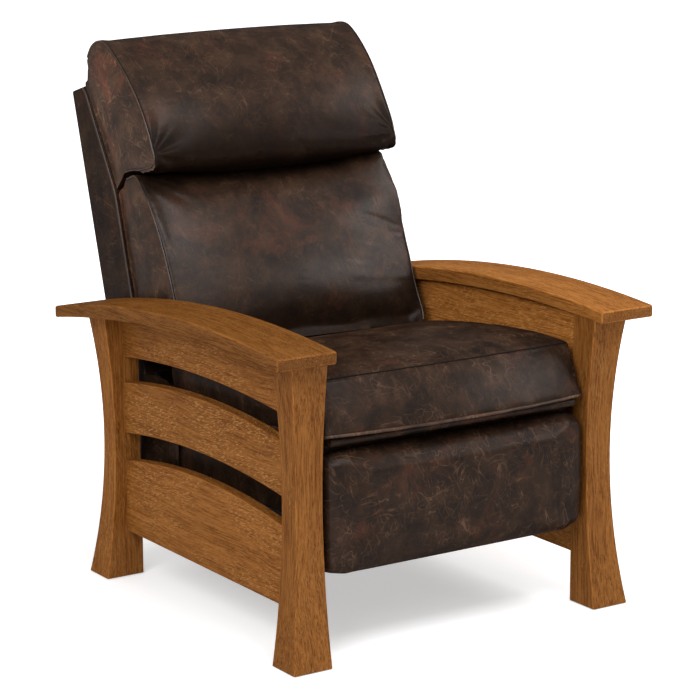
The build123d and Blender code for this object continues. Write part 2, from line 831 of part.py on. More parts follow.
def back_cushion_outline(full):
    """Side view of the lower back cushion, its foot flared over the seat."""
    height = back_cushion_foot - pillow_foot - fit_gap
    at = outline_points(back_cushion_shares, back_cushion_reach, back_cushion_foot, height,
                        back_cushion_crown * full)
    rear_bottom = (cushion_rear, -back_cushion_foot)
    rear_top = (cushion_rear, -back_taper_length - fit_gap)
    Line(rear_bottom, rear_top)
    Line(rear_top, at["tuck"])
    Line(at["tuck"], at["rim"])
    ThreePointArc(at["rim"], at["rim_bend"], at["shoulder"])
    ThreePointArc(at["shoulder"], at["chest"], at["hip"])
    ThreePointArc(at["hip"], at["flare"], at["toe"])
    Line(at["toe"], rear_bottom)


back_cushion = loft_cushion(post_inner - back_cushion_side_gap, back_plane, back_cushion_outline)
write("back_cushion", back_cushion)


def pillow_outline(full):
    """Side view of the head pillow: a wedge that overhangs the cushion below."""
    at = outline_points(pillow_shares, pillow_reach, pillow_foot, pillow_foot + pillow_rise,
                        pillow_crown * full)
    Line(pillow_rear_bottom, pillow_rear_top)
    Line(pillow_rear_top, at["tip"])
    ThreePointArc(at["tip"], at["top"], at["crest"])
    ThreePointArc(at["crest"], at["brow"], at["nose"])
    ThreePointArc(at["nose"], at["chin"], at["jaw"])
    Line(at["jaw"], at["tuck"])
    Line(at["tuck"], pillow_rear_bottom)


head_pillow = loft_cushion(post_inner - pillow_side_gap, back_plane, pillow_outline)
write("head_pillow", head_pillow)


# Flat steel bars of the linkages, with the studs that are riveted into them
def make_bars(inner, thickness, hulls, holes, studs):
    """Bars that are hulls around groups of eyes, bored at their holes, with mirror images.

    A stud is its centre, its shank's ends, and its head's ends or none, measured across the chair.
    """
    with BuildPart() as bars:
        for eyes in hulls:
            with BuildSketch(Plane.YZ.offset(inner)):
                for centre, radius in eyes:
                    with Locations(centre):
                        RegularPolygon(radius, eye_sides, major_radius=False)
                make_hull()
            extrude(amount=thickness)
        for centre, radius in holes:
            with BuildSketch(Plane.YZ.offset(inner)):
                with Locations(centre):
                    Circle(radius)
            extrude(amount=thickness, mode=Mode.SUBTRACT)
        for centre, shank, head in studs:
            with BuildSketch(Plane.YZ.offset(shank[0])):
                with Locations(centre):
                    Circle(pin_radius)
            extrude(amount=shank[1] - shank[0])
            if head:
                with BuildSketch(Plane.YZ.offset(head[0])):
                    with Locations(centre):
                        RegularPolygon(pin_head_radius, head_sides)
                extrude(amount=head[1] - head[0])
        mirror(bars.part, about=Plane.YZ)
    return bars


running_hole = pin_radius + running_clearance
open_hole = pin_radius + open_pivot_clearance


def turned(centre, distance, angle):
    """The point at a distance from centre, at an angle turned forward from straight down."""
    return (centre[0] - distance * sin(radians(angle)), centre[1] - distance * cos(radians(angle)))


# Brackets on the back's plywood reach down to the hinge and forward to the recline link's pin
hinge_in_back = in_back(*hinge)
recline_pin = (hinge[0], hinge[1] + recline_pin_rise)
recline_inner = back_half_width + recline_link_gap
recline_outer = recline_inner + link_thickness
recline_head = recline_outer + head_gap
with BuildPart() as back_brackets:
    with BuildSketch(back_plane(ply_inner)):
        with Locations((back_seat_depth - bracket_foot_depth / 2,
                        -back_cover_length + bracket_foot / 2)):
            Rectangle(bracket_foot_depth, bracket_foot)
        with Locations(hinge_in_back):
            RegularPolygon(hinge_eye_radius, eye_sides, major_radius=False)
        with Locations(in_back(*recline_pin)):
            RegularPolygon(pivot_eye_radius, eye_sides, major_radius=False)
        make_hull()
        with Locations(hinge_in_back):
            Circle(running_hole, mode=Mode.SUBTRACT)
    extrude(amount=bracket_thickness)
    with BuildSketch(Plane.YZ.offset(ply_inner)):
        with Locations(recline_pin):
            Circle(pin_radius)
    extrude(amount=recline_head - ply_inner)
    with BuildSketch(Plane.YZ.offset(recline_head)):
        with Locations(recline_pin):
            RegularPolygon(pin_head_radius, head_sides)
    extrude(amount=pin_head_thickness)
    mirror(back_brackets.part, about=Plane.YZ)
write("back_brackets", back_brackets)

recline_post_pin = (rear_post_front_y + recline_post_setback, hinge[1] + recline_post_rise)
write("recline_links", make_bars(
    recline_inner, link_thickness,
    [[(recline_pin, pivot_eye_radius), (recline_post_pin, link_half_width)]],
    [(recline_pin, open_hole), (recline_post_pin, running_hole)], []))
flange_inner = post_inner - plate_thickness
link_head = recline_inner - head_gap
write("post_studs", make_bars(
    flange_inner, plate_thickness, [[(recline_post_pin, post_flange_radius)]], [],
    [(recline_post_pin, (link_head, flange_inner), (link_head - pin_head_thickness, link_head))]))

# Footrest linkage: pivots in the closed position
lift_pivot = (seat_front_y + lift_pivot_setback, deck_front_height - lift_pivot_drop)
guide_pivot = (lift_pivot[0] - guide_pivot_ahead, lift_pivot[1] - guide_pivot_below)
knee = turned(lift_pivot, lift_length, lift_closed_angle)
footrest_pivot = turned(knee, reach_length, reach_closed_angle)
guide_knee = turned(knee, guide_horn, reach_closed_angle + guide_horn_angle)
brace_knee = turned(knee, brace_horn, lift_closed_angle + brace_horn_angle)
brace_end = turned(footrest_pivot, footrest_horn, footrest_horn_angle)
tube_foot = turned(lift_pivot, lift_length - lift_tube_station, lift_closed_angle)
tube_centre = turned(tube_foot, lift_tube_offset, lift_closed_angle - 90)

# Layers of the linkage, from the seat's boards inwards
plate_inner = board_inner - plate_thickness
guide_layer = plate_inner - link_gap - link_thickness
reach_layer = guide_layer - link_gap - link_thickness
lift_layer = reach_layer - link_gap - link_thickness
brace_layer = lift_layer - link_gap - link_thickness
lift_head = lift_layer - head_gap
brace_head = brace_layer - head_gap
reach_head = reach_layer + link_thickness + head_gap
guide_head = guide_layer + link_thickness + head_gap
hinge_head = ply_inner + head_gap

# Plates on the seat's boards: the footrest's mounts in front, the back's hinge plates behind
mount_corner = (lift_pivot[0] - mount_lead, lift_pivot[1] - mount_drop)
with BuildPart() as footrest_mounts:
    with BuildSketch(Plane.YZ.offset(plate_inner)):
        with Locations((mount_corner[0] + mount_length / 2, mount_corner[1] + mount_height / 2)):
            Rectangle(mount_length, mount_height)
    extrude(amount=plate_thickness)
    for centre, end in ((lift_pivot, lift_head), (guide_pivot, guide_layer)):
        with BuildSketch(Plane.YZ.offset(end)):
            with Locations(centre):
                Circle(pin_radius)
        extrude(amount=plate_inner - end)
    with BuildSketch(Plane.YZ.offset(lift_head - pin_head_thickness)):
        with Locations(lift_pivot):
            RegularPolygon(pin_head_radius, head_sides)
    extrude(amount=pin_head_thickness)
    mirror(footrest_mounts.part, about=Plane.YZ)
write("footrest_mounts", footrest_mounts)

plate_middle = board_bottom_height + runner_thickness + hinge_plate_height / 2
with BuildPart() as hinge_plates:
    with BuildSketch(Plane.YZ.offset(plate_inner)):
        with Locations((board_rear_y - hinge_plate_length / 2, plate_middle)):
            Rectangle(hinge_plate_length, hinge_plate_height)
        with Locations(hinge):
            RegularPolygon(hinge_eye_radius, eye_sides, major_radius=False)
        make_hull()
    extrude(amount=plate_thickness)
    with BuildSketch(Plane.YZ.offset(board_inner)):
        with Locations(hinge):
            Circle(pin_radius)
    extrude(amount=hinge_head - board_inner)
    with BuildSketch(Plane.YZ.offset(hinge_head)):
        with Locations(hinge):
            RegularPolygon(pin_head_radius, head_sides)
    extrude(amount=pin_head_thickness)
    mirror(hinge_plates.part, about=Plane.YZ)
write("hinge_plates", hinge_plates)

# Lift links, tied together by a tube
write("lift_links", make_bars(
    lift_layer, link_thickness,
    [[(lift_pivot, pivot_eye_radius), (knee, link_half_width)],
     [(knee, link_half_width), (brace_knee, link_half_width)],
     [(tube_foot, link_half_width), (tube_centre, pivot_eye_radius)]],
    [(lift_pivot, running_hole), (knee, running_hole)],
    [(brace_knee, (brace_head, lift_layer), (brace_head - pin_head_thickness, brace_head))]))
with BuildPart() as lift_tube:
    with BuildSketch(Plane.YZ):
        with Locations(tube_centre):
            Circle(lift_tube_radius)
    extrude(amount=lift_layer, both=True)
write("lift_tube", lift_tube)

write("lift_guides", make_bars(
    guide_layer, link_thickness,
    [[(guide_pivot, link_half_width), (guide_knee, pivot_eye_radius)]],
    [(guide_pivot, running_hole), (guide_knee, open_hole)], []))

# Reach links swing on the knees, held at their horns by the lift guides
write("reach_links", make_bars(
    reach_layer, link_thickness,
    [[(knee, link_half_width), (footrest_pivot, link_half_width)],
     [(knee, link_half_width), (guide_knee, link_half_width)]],
    [(footrest_pivot, running_hole)],
    [(knee, (lift_layer, reach_layer), None),
     (guide_knee, (reach_layer + link_thickness, guide_head),
      (guide_head, guide_head + pin_head_thickness))]))

write("reach_guides", make_bars(
    brace_layer, link_thickness,
    [[(brace_knee, link_half_width), (brace_end, pivot_eye_radius)]],
    [(brace_knee, running_hole), (brace_end, open_hole)], []))

# Footrest: a board in a padded cover, on a bracket at each end
footrest_rear_y = board_front_y - footrest_gap
footrest_half_width = post_inner - footrest_side_gap
footrest_middle = footrest_bottom_height + footrest_height / 2
footrest_station_shares = (-1, -0.965, -0.86, 0.86, 0.965, 1)
corner_bend_share = 0.293        # of a quarter circle's radius, at its middle
with BuildPart() as footrest_pad:
    for station in footrest_station_shares:
        full = 1 - abs(station) ** footrest_fullness_power
        front = footrest_rear_y - footrest_side_depth - (footrest_depth - footrest_side_depth) * full
        shoulder = (front + footrest_rear_y) / 2
        half = footrest_height / 2 - footrest_side_drop * (1 - full)
        low, high = footrest_middle - half, footrest_middle + half
        bend_y = front + (shoulder - front) * corner_bend_share
        bend = footrest_corner * corner_bend_share
        with BuildSketch(Plane.YZ.offset(station * footrest_half_width)):
            with BuildLine():
                Line((shoulder, low), (footrest_rear_y, low))
                Line((footrest_rear_y, low), (footrest_rear_y, high))
                Line((footrest_rear_y, high), (shoulder, high))
                ThreePointArc((shoulder, high), (bend_y, high - bend),
                              (front, high - footrest_corner))
                ThreePointArc((front, high - footrest_corner),
                              (front - footrest_bulge, footrest_middle),
                              (front, low + footrest_corner))
                ThreePointArc((front, low + footrest_corner), (bend_y, low + bend),
                              (shoulder, low))
            make_face()
    loft(ruled=True)
    with BuildSketch(Plane.XZ.offset(-footrest_rear_y)):
        with Locations((0, footrest_middle)):
            Rectangle(2 * (footrest_half_width - footrest_board_inset),
                      footrest_height - 2 * footrest_board_inset)
    extrude(amount=footrest_board_thickness + fit_gap, mode=Mode.SUBTRACT)
write("footrest_pad", footrest_pad)

with BuildPart() as footrest_board:
    with BuildSketch(Plane.XZ.offset(-footrest_rear_y)):
        with Locations((0, footrest_middle)):
            Rectangle(2 * (footrest_half_width - footrest_board_inset) - fit_gap,
                      footrest_height - 2 * footrest_board_inset - fit_gap)
    extrude(amount=footrest_board_thickness)
write("footrest_board", footrest_board)

bracket_low = footrest_bottom_height + bracket_foot_bottom
bracket_middle = bracket_low + bracket_foot_height / 2
footrest_studs = (
    (footrest_pivot, lift_layer + link_thickness, reach_head, reach_head),
    (brace_end, brace_head, lift_layer, brace_head - pin_head_thickness),
)
with BuildPart() as footrest_brackets:
    with BuildSketch(Plane.YZ.offset(lift_layer)):
        with Locations((footrest_rear_y + plate_thickness / 2, bracket_middle)):
            Rectangle(plate_thickness, bracket_foot_height)
        with Locations(footrest_pivot, brace_end):
            RegularPolygon(link_half_width, eye_sides, major_radius=False)
        make_hull()
    extrude(amount=link_thickness)
    with BuildSketch(Plane.XZ.offset(-footrest_rear_y)):
        with Locations((lift_layer - angle_width / 2, bracket_middle)):
            Rectangle(angle_width, bracket_foot_height)
    extrude(amount=-plate_thickness)
    for centre, start, end, head in footrest_studs:
        with BuildSketch(Plane.YZ.offset(start)):
            with Locations(centre):
                Circle(pin_radius)
        extrude(amount=end - start)
        with BuildSketch(Plane.YZ.offset(head)):
            with Locations(centre):
                RegularPolygon(pin_head_radius, head_sides)
        extrude(amount=pin_head_thickness)
    mirror(footrest_brackets.part, about=Plane.YZ)
write("footrest_brackets", footrest_brackets)

for name, point in (("hinge", hinge), ("recline pin", recline_pin),
                    ("recline post pin", recline_post_pin), ("lift pivot", lift_pivot),
                    ("guide pivot", guide_pivot), ("knee", knee),
                    ("footrest pivot", footrest_pivot), ("guide knee", guide_knee),
                    ("brace knee", brace_knee), ("brace end", brace_end)):
    print(f"{name}: y {point[0]:.2f}, z {point[1]:.2f}")
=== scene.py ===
# %% [markdown]
# # An oak armchair with leather cushions, finished from its CAD frame
# The CAD parts hold every board, plate and pivot at its true size. This file gives them their
# finish: stained oak, dark pull-up leather, steel and webbing. It also replaces the plain soft
# solids with sewn and stuffed ones. Everything is in metres, with the sitter facing -Y.

from math import cos, pi, radians, sin

import bmesh
import bpy
from mathutils import Matrix, Vector
from mathutils.bvhtree import BVHTree
from mathutils.kdtree import KDTree


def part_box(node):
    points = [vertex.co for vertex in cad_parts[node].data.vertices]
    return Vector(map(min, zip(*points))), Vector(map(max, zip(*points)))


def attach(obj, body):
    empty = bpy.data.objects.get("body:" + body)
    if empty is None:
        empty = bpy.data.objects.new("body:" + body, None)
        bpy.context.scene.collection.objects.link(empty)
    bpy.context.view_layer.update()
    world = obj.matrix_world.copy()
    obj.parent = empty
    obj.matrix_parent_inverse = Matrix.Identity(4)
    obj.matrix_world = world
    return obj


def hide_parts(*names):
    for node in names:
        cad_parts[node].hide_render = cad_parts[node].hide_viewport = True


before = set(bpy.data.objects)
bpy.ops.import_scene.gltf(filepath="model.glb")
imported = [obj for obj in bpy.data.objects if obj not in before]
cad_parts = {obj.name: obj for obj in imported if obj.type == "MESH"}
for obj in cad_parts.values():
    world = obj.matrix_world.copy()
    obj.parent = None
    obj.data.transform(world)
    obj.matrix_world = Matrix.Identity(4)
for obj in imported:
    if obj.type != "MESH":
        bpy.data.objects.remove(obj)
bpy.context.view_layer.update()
scene = bpy.context.scene

# %% [markdown]
# ## Camera
# A long lens stands more than five metres off, a metre above the arms, to the sitter's right.
# The place and the turns come from measuring straight edges, so the shift stays at zero.

# %% Camera
CAMERA_PLACE = (-2.92456, -4.53243, 1.69721)
CAMERA_TURNS = {"pan": -33.397, "tilt": 77.479, "roll": -0.276}
camera_data = bpy.data.cameras.new("camera")
camera_data.lens = 133.41
camera_data.sensor_width = 36
camera_data.clip_end = 200
camera = bpy.data.objects.new("camera", camera_data)
scene.collection.objects.link(camera)
turn = (Matrix.Rotation(radians(CAMERA_TURNS["pan"]), 4, "Z")
        @ Matrix.Rotation(radians(CAMERA_TURNS["tilt"]), 4, "X")
        @ Matrix.Rotation(radians(CAMERA_TURNS["roll"]), 4, "Z"))
camera.matrix_world = Matrix.Translation(CAMERA_PLACE) @ turn
scene.camera = camera
scene.view_settings.view_transform = "Standard"
print("camera at", [round(v, 2) for v in camera.location])

# %% [markdown]
# ## Small helpers for materials
# A shader is a tree of nodes. One helper adds a node and fills its sockets, with a value or with
# a link, so that each material below reads from top to bottom like a recipe.


# %% Helpers for materials
def start_material(name):
    """A new material with an empty tree and its output."""
    material = bpy.data.materials.new(name)
    material.use_nodes = True
    material.node_tree.nodes.clear()
    output = material.node_tree.nodes.new("ShaderNodeOutputMaterial")
    return material, material.node_tree, output


def add_node(tree, kind, inputs=None, **settings):
    """A shader node with its settings, and with each input linked or given a value."""
    made = tree.nodes.new("ShaderNode" + kind)
    for key, value in settings.items():
        setattr(made, key, value)
    for socket, value in (inputs or {}).items():
        if isinstance(value, bpy.types.NodeSocket):
            tree.links.new(value, made.inputs[socket])
        else:
            made.inputs[socket].default_value = value
    return made


def add_ramp(tree, factor, stops):
    """A colour ramp through stops of a position and a colour or a grey."""
    ramp = add_node(tree, "ValToRGB", {"Fac": factor})
    while len(ramp.color_ramp.elements) < len(stops):
        ramp.color_ramp.elements.new(0.5)
    for element, (place, colour) in zip(ramp.color_ramp.elements, stops):
        element.position = place
        element.color = (*colour, 1) if isinstance(colour, tuple) else (colour, colour, colour, 1)
    return ramp.outputs["Color"]


def add_mix(tree, factor, first, second):
    """Mix two colours by a factor."""
    mix = add_node(tree, "Mix", {0: factor}, data_type="RGBA")
    for socket, value in ((6, first), (7, second)):
        if isinstance(value, bpy.types.NodeSocket):
            tree.links.new(value, mix.inputs[socket])
        else:
            mix.inputs[socket].default_value = (*value, 1)
    return mix.outputs[2]


def seen_directly(tree):
    """1 for rays from the camera, a reflection or a transmission, and 0 for diffuse ones."""
    path = add_node(tree, "LightPath")
    seen = add_node(tree, "Math", {0: path.outputs["Is Camera Ray"],
                                   1: path.outputs["Is Glossy Ray"]}, operation="MAXIMUM")
    return add_node(tree, "Math", {0: seen.outputs[0], 1: path.outputs["Is Transmission Ray"]},
                    operation="MAXIMUM").outputs[0]


def dress(obj, material):
    """Give an object this material and no other."""
    obj.data.materials.clear()
    obj.data.materials.append(material)


def stretched_noise(tree, place, scales, detail=3, roughness=0.55, **settings):
    """Noise with its own number of features per metre along each axis of place."""
    mapping = add_node(tree, "Mapping", {"Vector": place, "Scale": scales})
    return add_node(tree, "TexNoise", {"Vector": mapping.outputs["Vector"], "Scale": 1.0,
                                       "Detail": detail, "Roughness": roughness},
                    **settings).outputs["Fac"]


print("helpers for materials ready")

# %% [markdown]
# ## Quarter-sawn oak
# The wood is oak with a golden brown stain under a satin lacquer. Four things make it oak and
# not just brown: long bands of tone, fine fibres, short dark pores, and the pale ray flecks
# that quarter sawing lays bare. Noise that is stretched along the grain makes all four. The
# satin lacquer is a faint coat of high index, because that gleams under a lamp and still
# doesn't veil the stain with grey at low angles. Each board gets its own material, turned and
# shifted so that no two boards share a pattern.


# %% Oak
GRAIN_TURNS = {"y": (0, 0, pi / 2), "z": (0, pi / 2, 0), "x": (0, 0, 0)}


def make_oak(name, grain, shift, tone=1.0, end_grain=False, flecks=1.0):
    """Stained oak whose grain runs along an axis; tone lightens it, end_grain stipples it."""
    material, tree, output = start_material(name)
    coordinates = add_node(tree, "TexCoord").outputs["Object"]
    place = add_node(tree, "Mapping", {"Vector": coordinates, "Location": shift,
                                       "Rotation": GRAIN_TURNS[grain]}).outputs["Vector"]
    wave = add_node(tree, "TexNoise", {"Vector": place, "Scale": 3.2, "Detail": 2.0})
    bent = add_node(tree, "VectorMath", {0: wave.outputs["Color"], 1: (0.004, 0.03, 0.03),
                                         2: place}, operation="MULTIPLY_ADD").outputs["Vector"]
    bands = stretched_noise(tree, bent, (0.9, 30, 30), 5, 0.65)
    colour = add_ramp(tree, bands, [
        (0.30, (0.150 * tone, 0.047 * tone, 0.0080 * tone)),
        (0.50, (0.232 * tone, 0.082 * tone, 0.0155 * tone)),
        (0.70, (0.320 * tone, 0.122 * tone, 0.0270 * tone))])
    fibres = stretched_noise(tree, bent, (9, 330, 330), 4, 0.75)
    colour = add_mix(tree, add_ramp(tree, fibres, [(0.42, 0.0), (0.60, 0.60)]), colour,
                     (0.390 * tone, 0.158 * tone, 0.0380 * tone))
    colour = add_mix(tree, add_ramp(tree, fibres, [(0.36, 0.60), (0.50, 0.0)]), colour,
                     (0.120 * tone, 0.036 * tone, 0.0060 * tone))
    pores = stretched_noise(tree, bent, (34, 620, 620), 3, 0.7)
    pore_mask = add_ramp(tree, pores, [(0.56, 0.0), (0.66, 0.70)])
    colour = add_mix(tree, pore_mask, colour, (0.078 * tone, 0.022 * tone, 0.0035 * tone))
    tilted = add_node(tree, "Mapping", {"Vector": bent,
                                        "Rotation": (0.3, 0.16, 0.20)}).outputs["Vector"]
    fleck = stretched_noise(tree, tilted, (48, 400, 400), 2, 0.5)
    patch = stretched_noise(tree, bent, (5, 14, 14), 2, 0.5)
    fleck_mask = add_node(tree, "Math", {
        0: add_ramp(tree, fleck, [(0.55, 0.0), (0.62, 0.80 * flecks)]),
        1: add_ramp(tree, patch, [(0.42, 0.30), (0.56, 1.0)])}, operation="MULTIPLY")
    colour = add_mix(tree, fleck_mask.outputs[0], colour,
                     (0.500 * tone, 0.240 * tone, 0.0800 * tone))
    if end_grain:
        stipple = stretched_noise(tree, place, (620, 620, 620), 3, 0.7)
        colour = add_mix(tree, add_ramp(tree, stipple, [(0.42, 0.85), (0.60, 0.15)]), colour,
                         (0.085, 0.030, 0.007))
    relief = add_node(tree, "Math", {0: fibres, 1: pore_mask}, operation="SUBTRACT").outputs[0]
    bump = add_node(tree, "Bump", {"Height": relief, "Strength": 0.16, "Distance": 0.0006})
    shine = add_ramp(tree, fibres, [(0.35, 0.36), (0.65, 0.50)])
    surface = add_node(tree, "BsdfPrincipled", {
        "Base Color": colour, "Roughness": shine, "Specular IOR Level": 0.0,
        "Coat Weight": 0.035, "Coat IOR": 2.2, "Coat Roughness": 0.34,
        "Normal": bump.outputs["Normal"], "Coat Normal": bump.outputs["Normal"]})
    tree.links.new(surface.outputs[0], output.inputs["Surface"])
    return material


print("oak recipe ready")

# %% [markdown]
# ## Dark pull-up leather
# Waxed aniline leather that has been rubbed and creased: quiet brown clouds with a reddish one
# here and there, long hair-thin tan scratches where the wax broke, and a soft grey sheen. A
# scratch must run on over any surface, so each is drawn where a stretched noise passes its
# middle value, which gives a thin line of any length. Seven such noises, each turned another
# way, show only in their own patches, since even cover would look printed. Low parts of a
# cushion may get painted shade, darker and with a thinner coat, by height along the leaning back.

# %% Leather
SCRATCH_TURNS = ((0.2, 0.1, 0.3), (0.9, 0.5, 1.2), (1.7, 1.1, 0.4), (0.5, 1.6, 2.2),
                 (2.4, 0.3, 1.9), (1.2, 2.1, 0.8), (2.9, 1.3, 2.7))
BACK_UP = (0.0, 0.2782, 0.9605)


def make_leather(name, shift, wear=1.0, tone=1.0, wax=0.05, painted_shade=None):
    """Distressed brown leather; wear shows the scratches, wax the sheen, and a height band, if
    given, paints shade low down.
    """
    material, tree, output = start_material(name)
    coordinates = add_node(tree, "TexCoord").outputs["Object"]
    place = add_node(tree, "Mapping", {"Vector": coordinates,
                                       "Location": shift}).outputs["Vector"]
    swirl = add_node(tree, "TexNoise", {"Vector": place, "Scale": 7.0, "Detail": 3.0})
    warped = add_node(tree, "VectorMath", {0: swirl.outputs["Color"], 1: (0.06, 0.06, 0.06),
                                           2: place}, operation="MULTIPLY_ADD").outputs["Vector"]
    clouds = add_node(tree, "TexNoise", {"Vector": warped, "Scale": 16.0, "Detail": 8.0,
                                         "Roughness": 0.66}).outputs["Fac"]
    colour = add_ramp(tree, clouds, [
        (0.34, (0.0125 * tone, 0.0072 * tone, 0.0050 * tone)),
        (0.47, (0.0235 * tone, 0.0125 * tone, 0.0078 * tone)),
        (0.58, (0.0350 * tone, 0.0185 * tone, 0.0108 * tone)),
        (0.72, (0.0560 * tone, 0.0300 * tone, 0.0175 * tone))])
    flush = add_node(tree, "TexNoise", {"Vector": warped, "Scale": 9.5, "Detail": 6.0,
                                        "Roughness": 0.75, "Distortion": 0.6}).outputs["Fac"]
    colour = add_mix(tree, add_ramp(tree, flush, [(0.55, 0.0), (0.72, 0.72)]), colour,
                     (0.0850 * tone, 0.0260 * tone, 0.0140 * tone))
    jitter = add_node(tree, "TexNoise", {"Vector": place, "Scale": 95.0, "Detail": 3.0})
    torn = add_node(tree, "VectorMath", {0: jitter.outputs["Color"], 1: (0.0035, 0.0035, 0.0035),
                                         2: place}, operation="MULTIPLY_ADD").outputs["Vector"]
    lines = None
    for number, turn in enumerate(SCRATCH_TURNS):
        turned = add_node(tree, "Mapping", {"Vector": torn, "Rotation": turn,
                                            "Location": (number, 0, 0)}).outputs["Vector"]
        level = stretched_noise(tree, turned, (7, 44, 44), 1, 0.4)
        off = add_node(tree, "Math", {0: level, 1: 0.5}, operation="SUBTRACT").outputs[0]
        near = add_node(tree, "Math", {0: off}, operation="ABSOLUTE").outputs[0]
        scratch = add_ramp(tree, near, [(0.0, 1.0), (0.005, 0.8), (0.017, 0.0)])
        patch = add_ramp(tree, stretched_noise(tree, turned, (12, 20, 20), 3, 0.7),
                         [(0.50, 0.0), (0.66, 1.0)])
        shown = add_node(tree, "Math", {0: scratch, 1: patch}, operation="MULTIPLY").outputs[0]
        if lines is None:
            lines = shown
        else:
            lines = add_node(tree, "Math", {0: lines, 1: shown}, operation="MAXIMUM").outputs[0]
    area = add_ramp(tree, add_node(tree, "TexNoise", {
        "Vector": warped, "Scale": 8.0, "Detail": 4.0,
        "Roughness": 0.6}).outputs["Fac"], [(0.36, 0.15), (0.60, 1.0)])
    shown = add_node(tree, "Math", {0: lines, 1: area}, operation="MULTIPLY").outputs[0]
    worn = add_node(tree, "Math", {0: shown, 1: 0.46 * wear}, operation="MULTIPLY").outputs[0]
    colour = add_mix(tree, worn, colour, (0.215 * tone, 0.118 * tone, 0.068 * tone))
    polish = wax
    if painted_shade is not None:
        axis, start, end, most = painted_shade
        # Painted shade: depth rises towards the low end of the band, darkens the colour and thins
        # the coat.
        height = add_node(tree, "VectorMath", {0: coordinates, 1: axis},
                          operation="DOT_PRODUCT").outputs["Value"]
        depth = add_node(tree, "MapRange", {
            "Value": height, "From Min": start, "From Max": end, "To Min": most,
            "To Max": 0.0}, interpolation_type="SMOOTHSTEP").outputs["Result"]
        colour = add_mix(tree, depth, colour, (0.0060, 0.0034, 0.0023))
        polish = add_node(tree, "Math", {0: depth, 1: -0.95 * wax, 2: wax},
                          operation="MULTIPLY_ADD").outputs[0]
    pebble = add_node(tree, "TexVoronoi", {"Vector": place, "Scale": 420.0}).outputs["Distance"]
    crease = stretched_noise(tree, warped, (34, 34, 34), 5, 0.6)
    relief = add_node(tree, "Math", {0: pebble, 1: 0.22, 2: crease}, operation="MULTIPLY_ADD")
    bump = add_node(tree, "Bump", {"Height": relief.outputs[0], "Strength": 0.26,
                                   "Distance": 0.0020})
    shine = add_ramp(tree, clouds, [(0.35, 0.36), (0.65, 0.52)])
    surface = add_node(tree, "BsdfPrincipled", {
        "Base Color": colour, "Roughness": shine, "Specular IOR Level": 0.0,
        "Coat Weight": polish, "Coat IOR": 2.5, "Coat Roughness": 0.31,
        "Normal": bump.outputs["Normal"], "Coat Normal": bump.outputs["Normal"]})
    tree.links.new(surface.outputs[0], output.inputs["Surface"])
    return material


print("leather recipe ready")

# %% [markdown]
# ## Leathers of this chair
# One hide is never all alike, so each part is cut from its own place in the pattern. The tones
# also paint light and shade: the side panels get a much lighter copy, painted light where the
# lamps fall on them, the footrest and the shell are darker, partly their own tone and partly
# painted shade, and the pillow and the back cushion get painted shade low down. The footrest is
# scratched most, the shell is duller, and the piping is the shiniest, since a tight roll is
# rubbed on every side. The thread is nearly black.

# %% Leathers of this chair
leather = make_leather("leather", (0.0, 0.0, 0.0), wear=0.9, tone=0.86, wax=0.032)
# Painted shade low down on the pillow and on the back cushion.
leather_pillow = make_leather("leather_pillow", (1.3, 0.4, 2.1), wear=0.6, tone=0.95,
                              painted_shade=(BACK_UP, 0.930, 1.050, 0.80))
leather_back = make_leather("leather_back", (2.7, 1.9, 0.3), wear=0.45, tone=0.9, wax=0.06,
                            painted_shade=(BACK_UP, 0.550, 0.670, 0.62))
# Painted light: a much lighter copy of the leather for the side panels.
leather_side_painted_light = make_leather("leather_side_painted_light", (2.2, 2.6, 4.3), wear=0.9, tone=1.75, wax=0.07)
# The footrest and shell tones are partly their own and partly painted shade.
leather_footrest = make_leather("leather_footrest", (4.1, 0.6, 1.2), wear=1.3, tone=0.76,
                                wax=0.035)
leather_shell = make_leather("leather_shell", (5.3, 2.2, 3.4), wear=0.7, tone=0.80, wax=0.035)
piping = make_leather("piping", (0.7, 3.1, 1.5), wear=0.3, tone=1.25, wax=0.14)
thread, tree, output = start_material("thread")
coordinates = add_node(tree, "TexCoord").outputs["Object"]
twist = stretched_noise(tree, coordinates, (900, 900, 900), 2, 0.5)
surface = add_node(tree, "BsdfPrincipled", {
    "Base Color": add_ramp(tree, twist, [(0.4, (0.004, 0.003, 0.003)),
                                         (0.6, (0.014, 0.009, 0.007))]),
    "Roughness": 0.8, "Specular IOR Level": 0.05})
tree.links.new(surface.outputs[0], output.inputs["Surface"])
print("leathers:", [m.name for m in bpy.data.materials if m.name.startswith("leather")])

# %% [markdown]
# ## Hidden and mechanical finishes
# Plain planed wood and plywood inside, black satin paint on the steel, woven elastic webbing,
# dark decking cloth, brown felt and natural nylon. Each gets a small pattern at its own scale,
# because a single flat colour never looks like a real surface from close by. The two cross
# rails are stained like the rest of the frame, and boards that show at the edge of the covers
# have leather on them.


# %% Hidden and mechanical finishes
def make_speckled(name, dark, light, scales, roughness, metal=0.0, bump_depth=0.0004):
    """A finish of two colours mixed by stretched noise, with a slight relief."""
    material, tree, output = start_material(name)
    coordinates = add_node(tree, "TexCoord").outputs["Object"]
    speckle = stretched_noise(tree, coordinates, scales, 4, 0.6)
    colour = add_ramp(tree, speckle, [(0.4, dark), (0.6, light)])
    bump = add_node(tree, "Bump", {"Height": speckle, "Strength": 0.3, "Distance": bump_depth})
    surface = add_node(tree, "BsdfPrincipled", {
        "Base Color": colour, "Roughness": roughness, "Metallic": metal,
        "Normal": bump.outputs["Normal"]})
    tree.links.new(surface.outputs[0], output.inputs["Surface"])
    return material


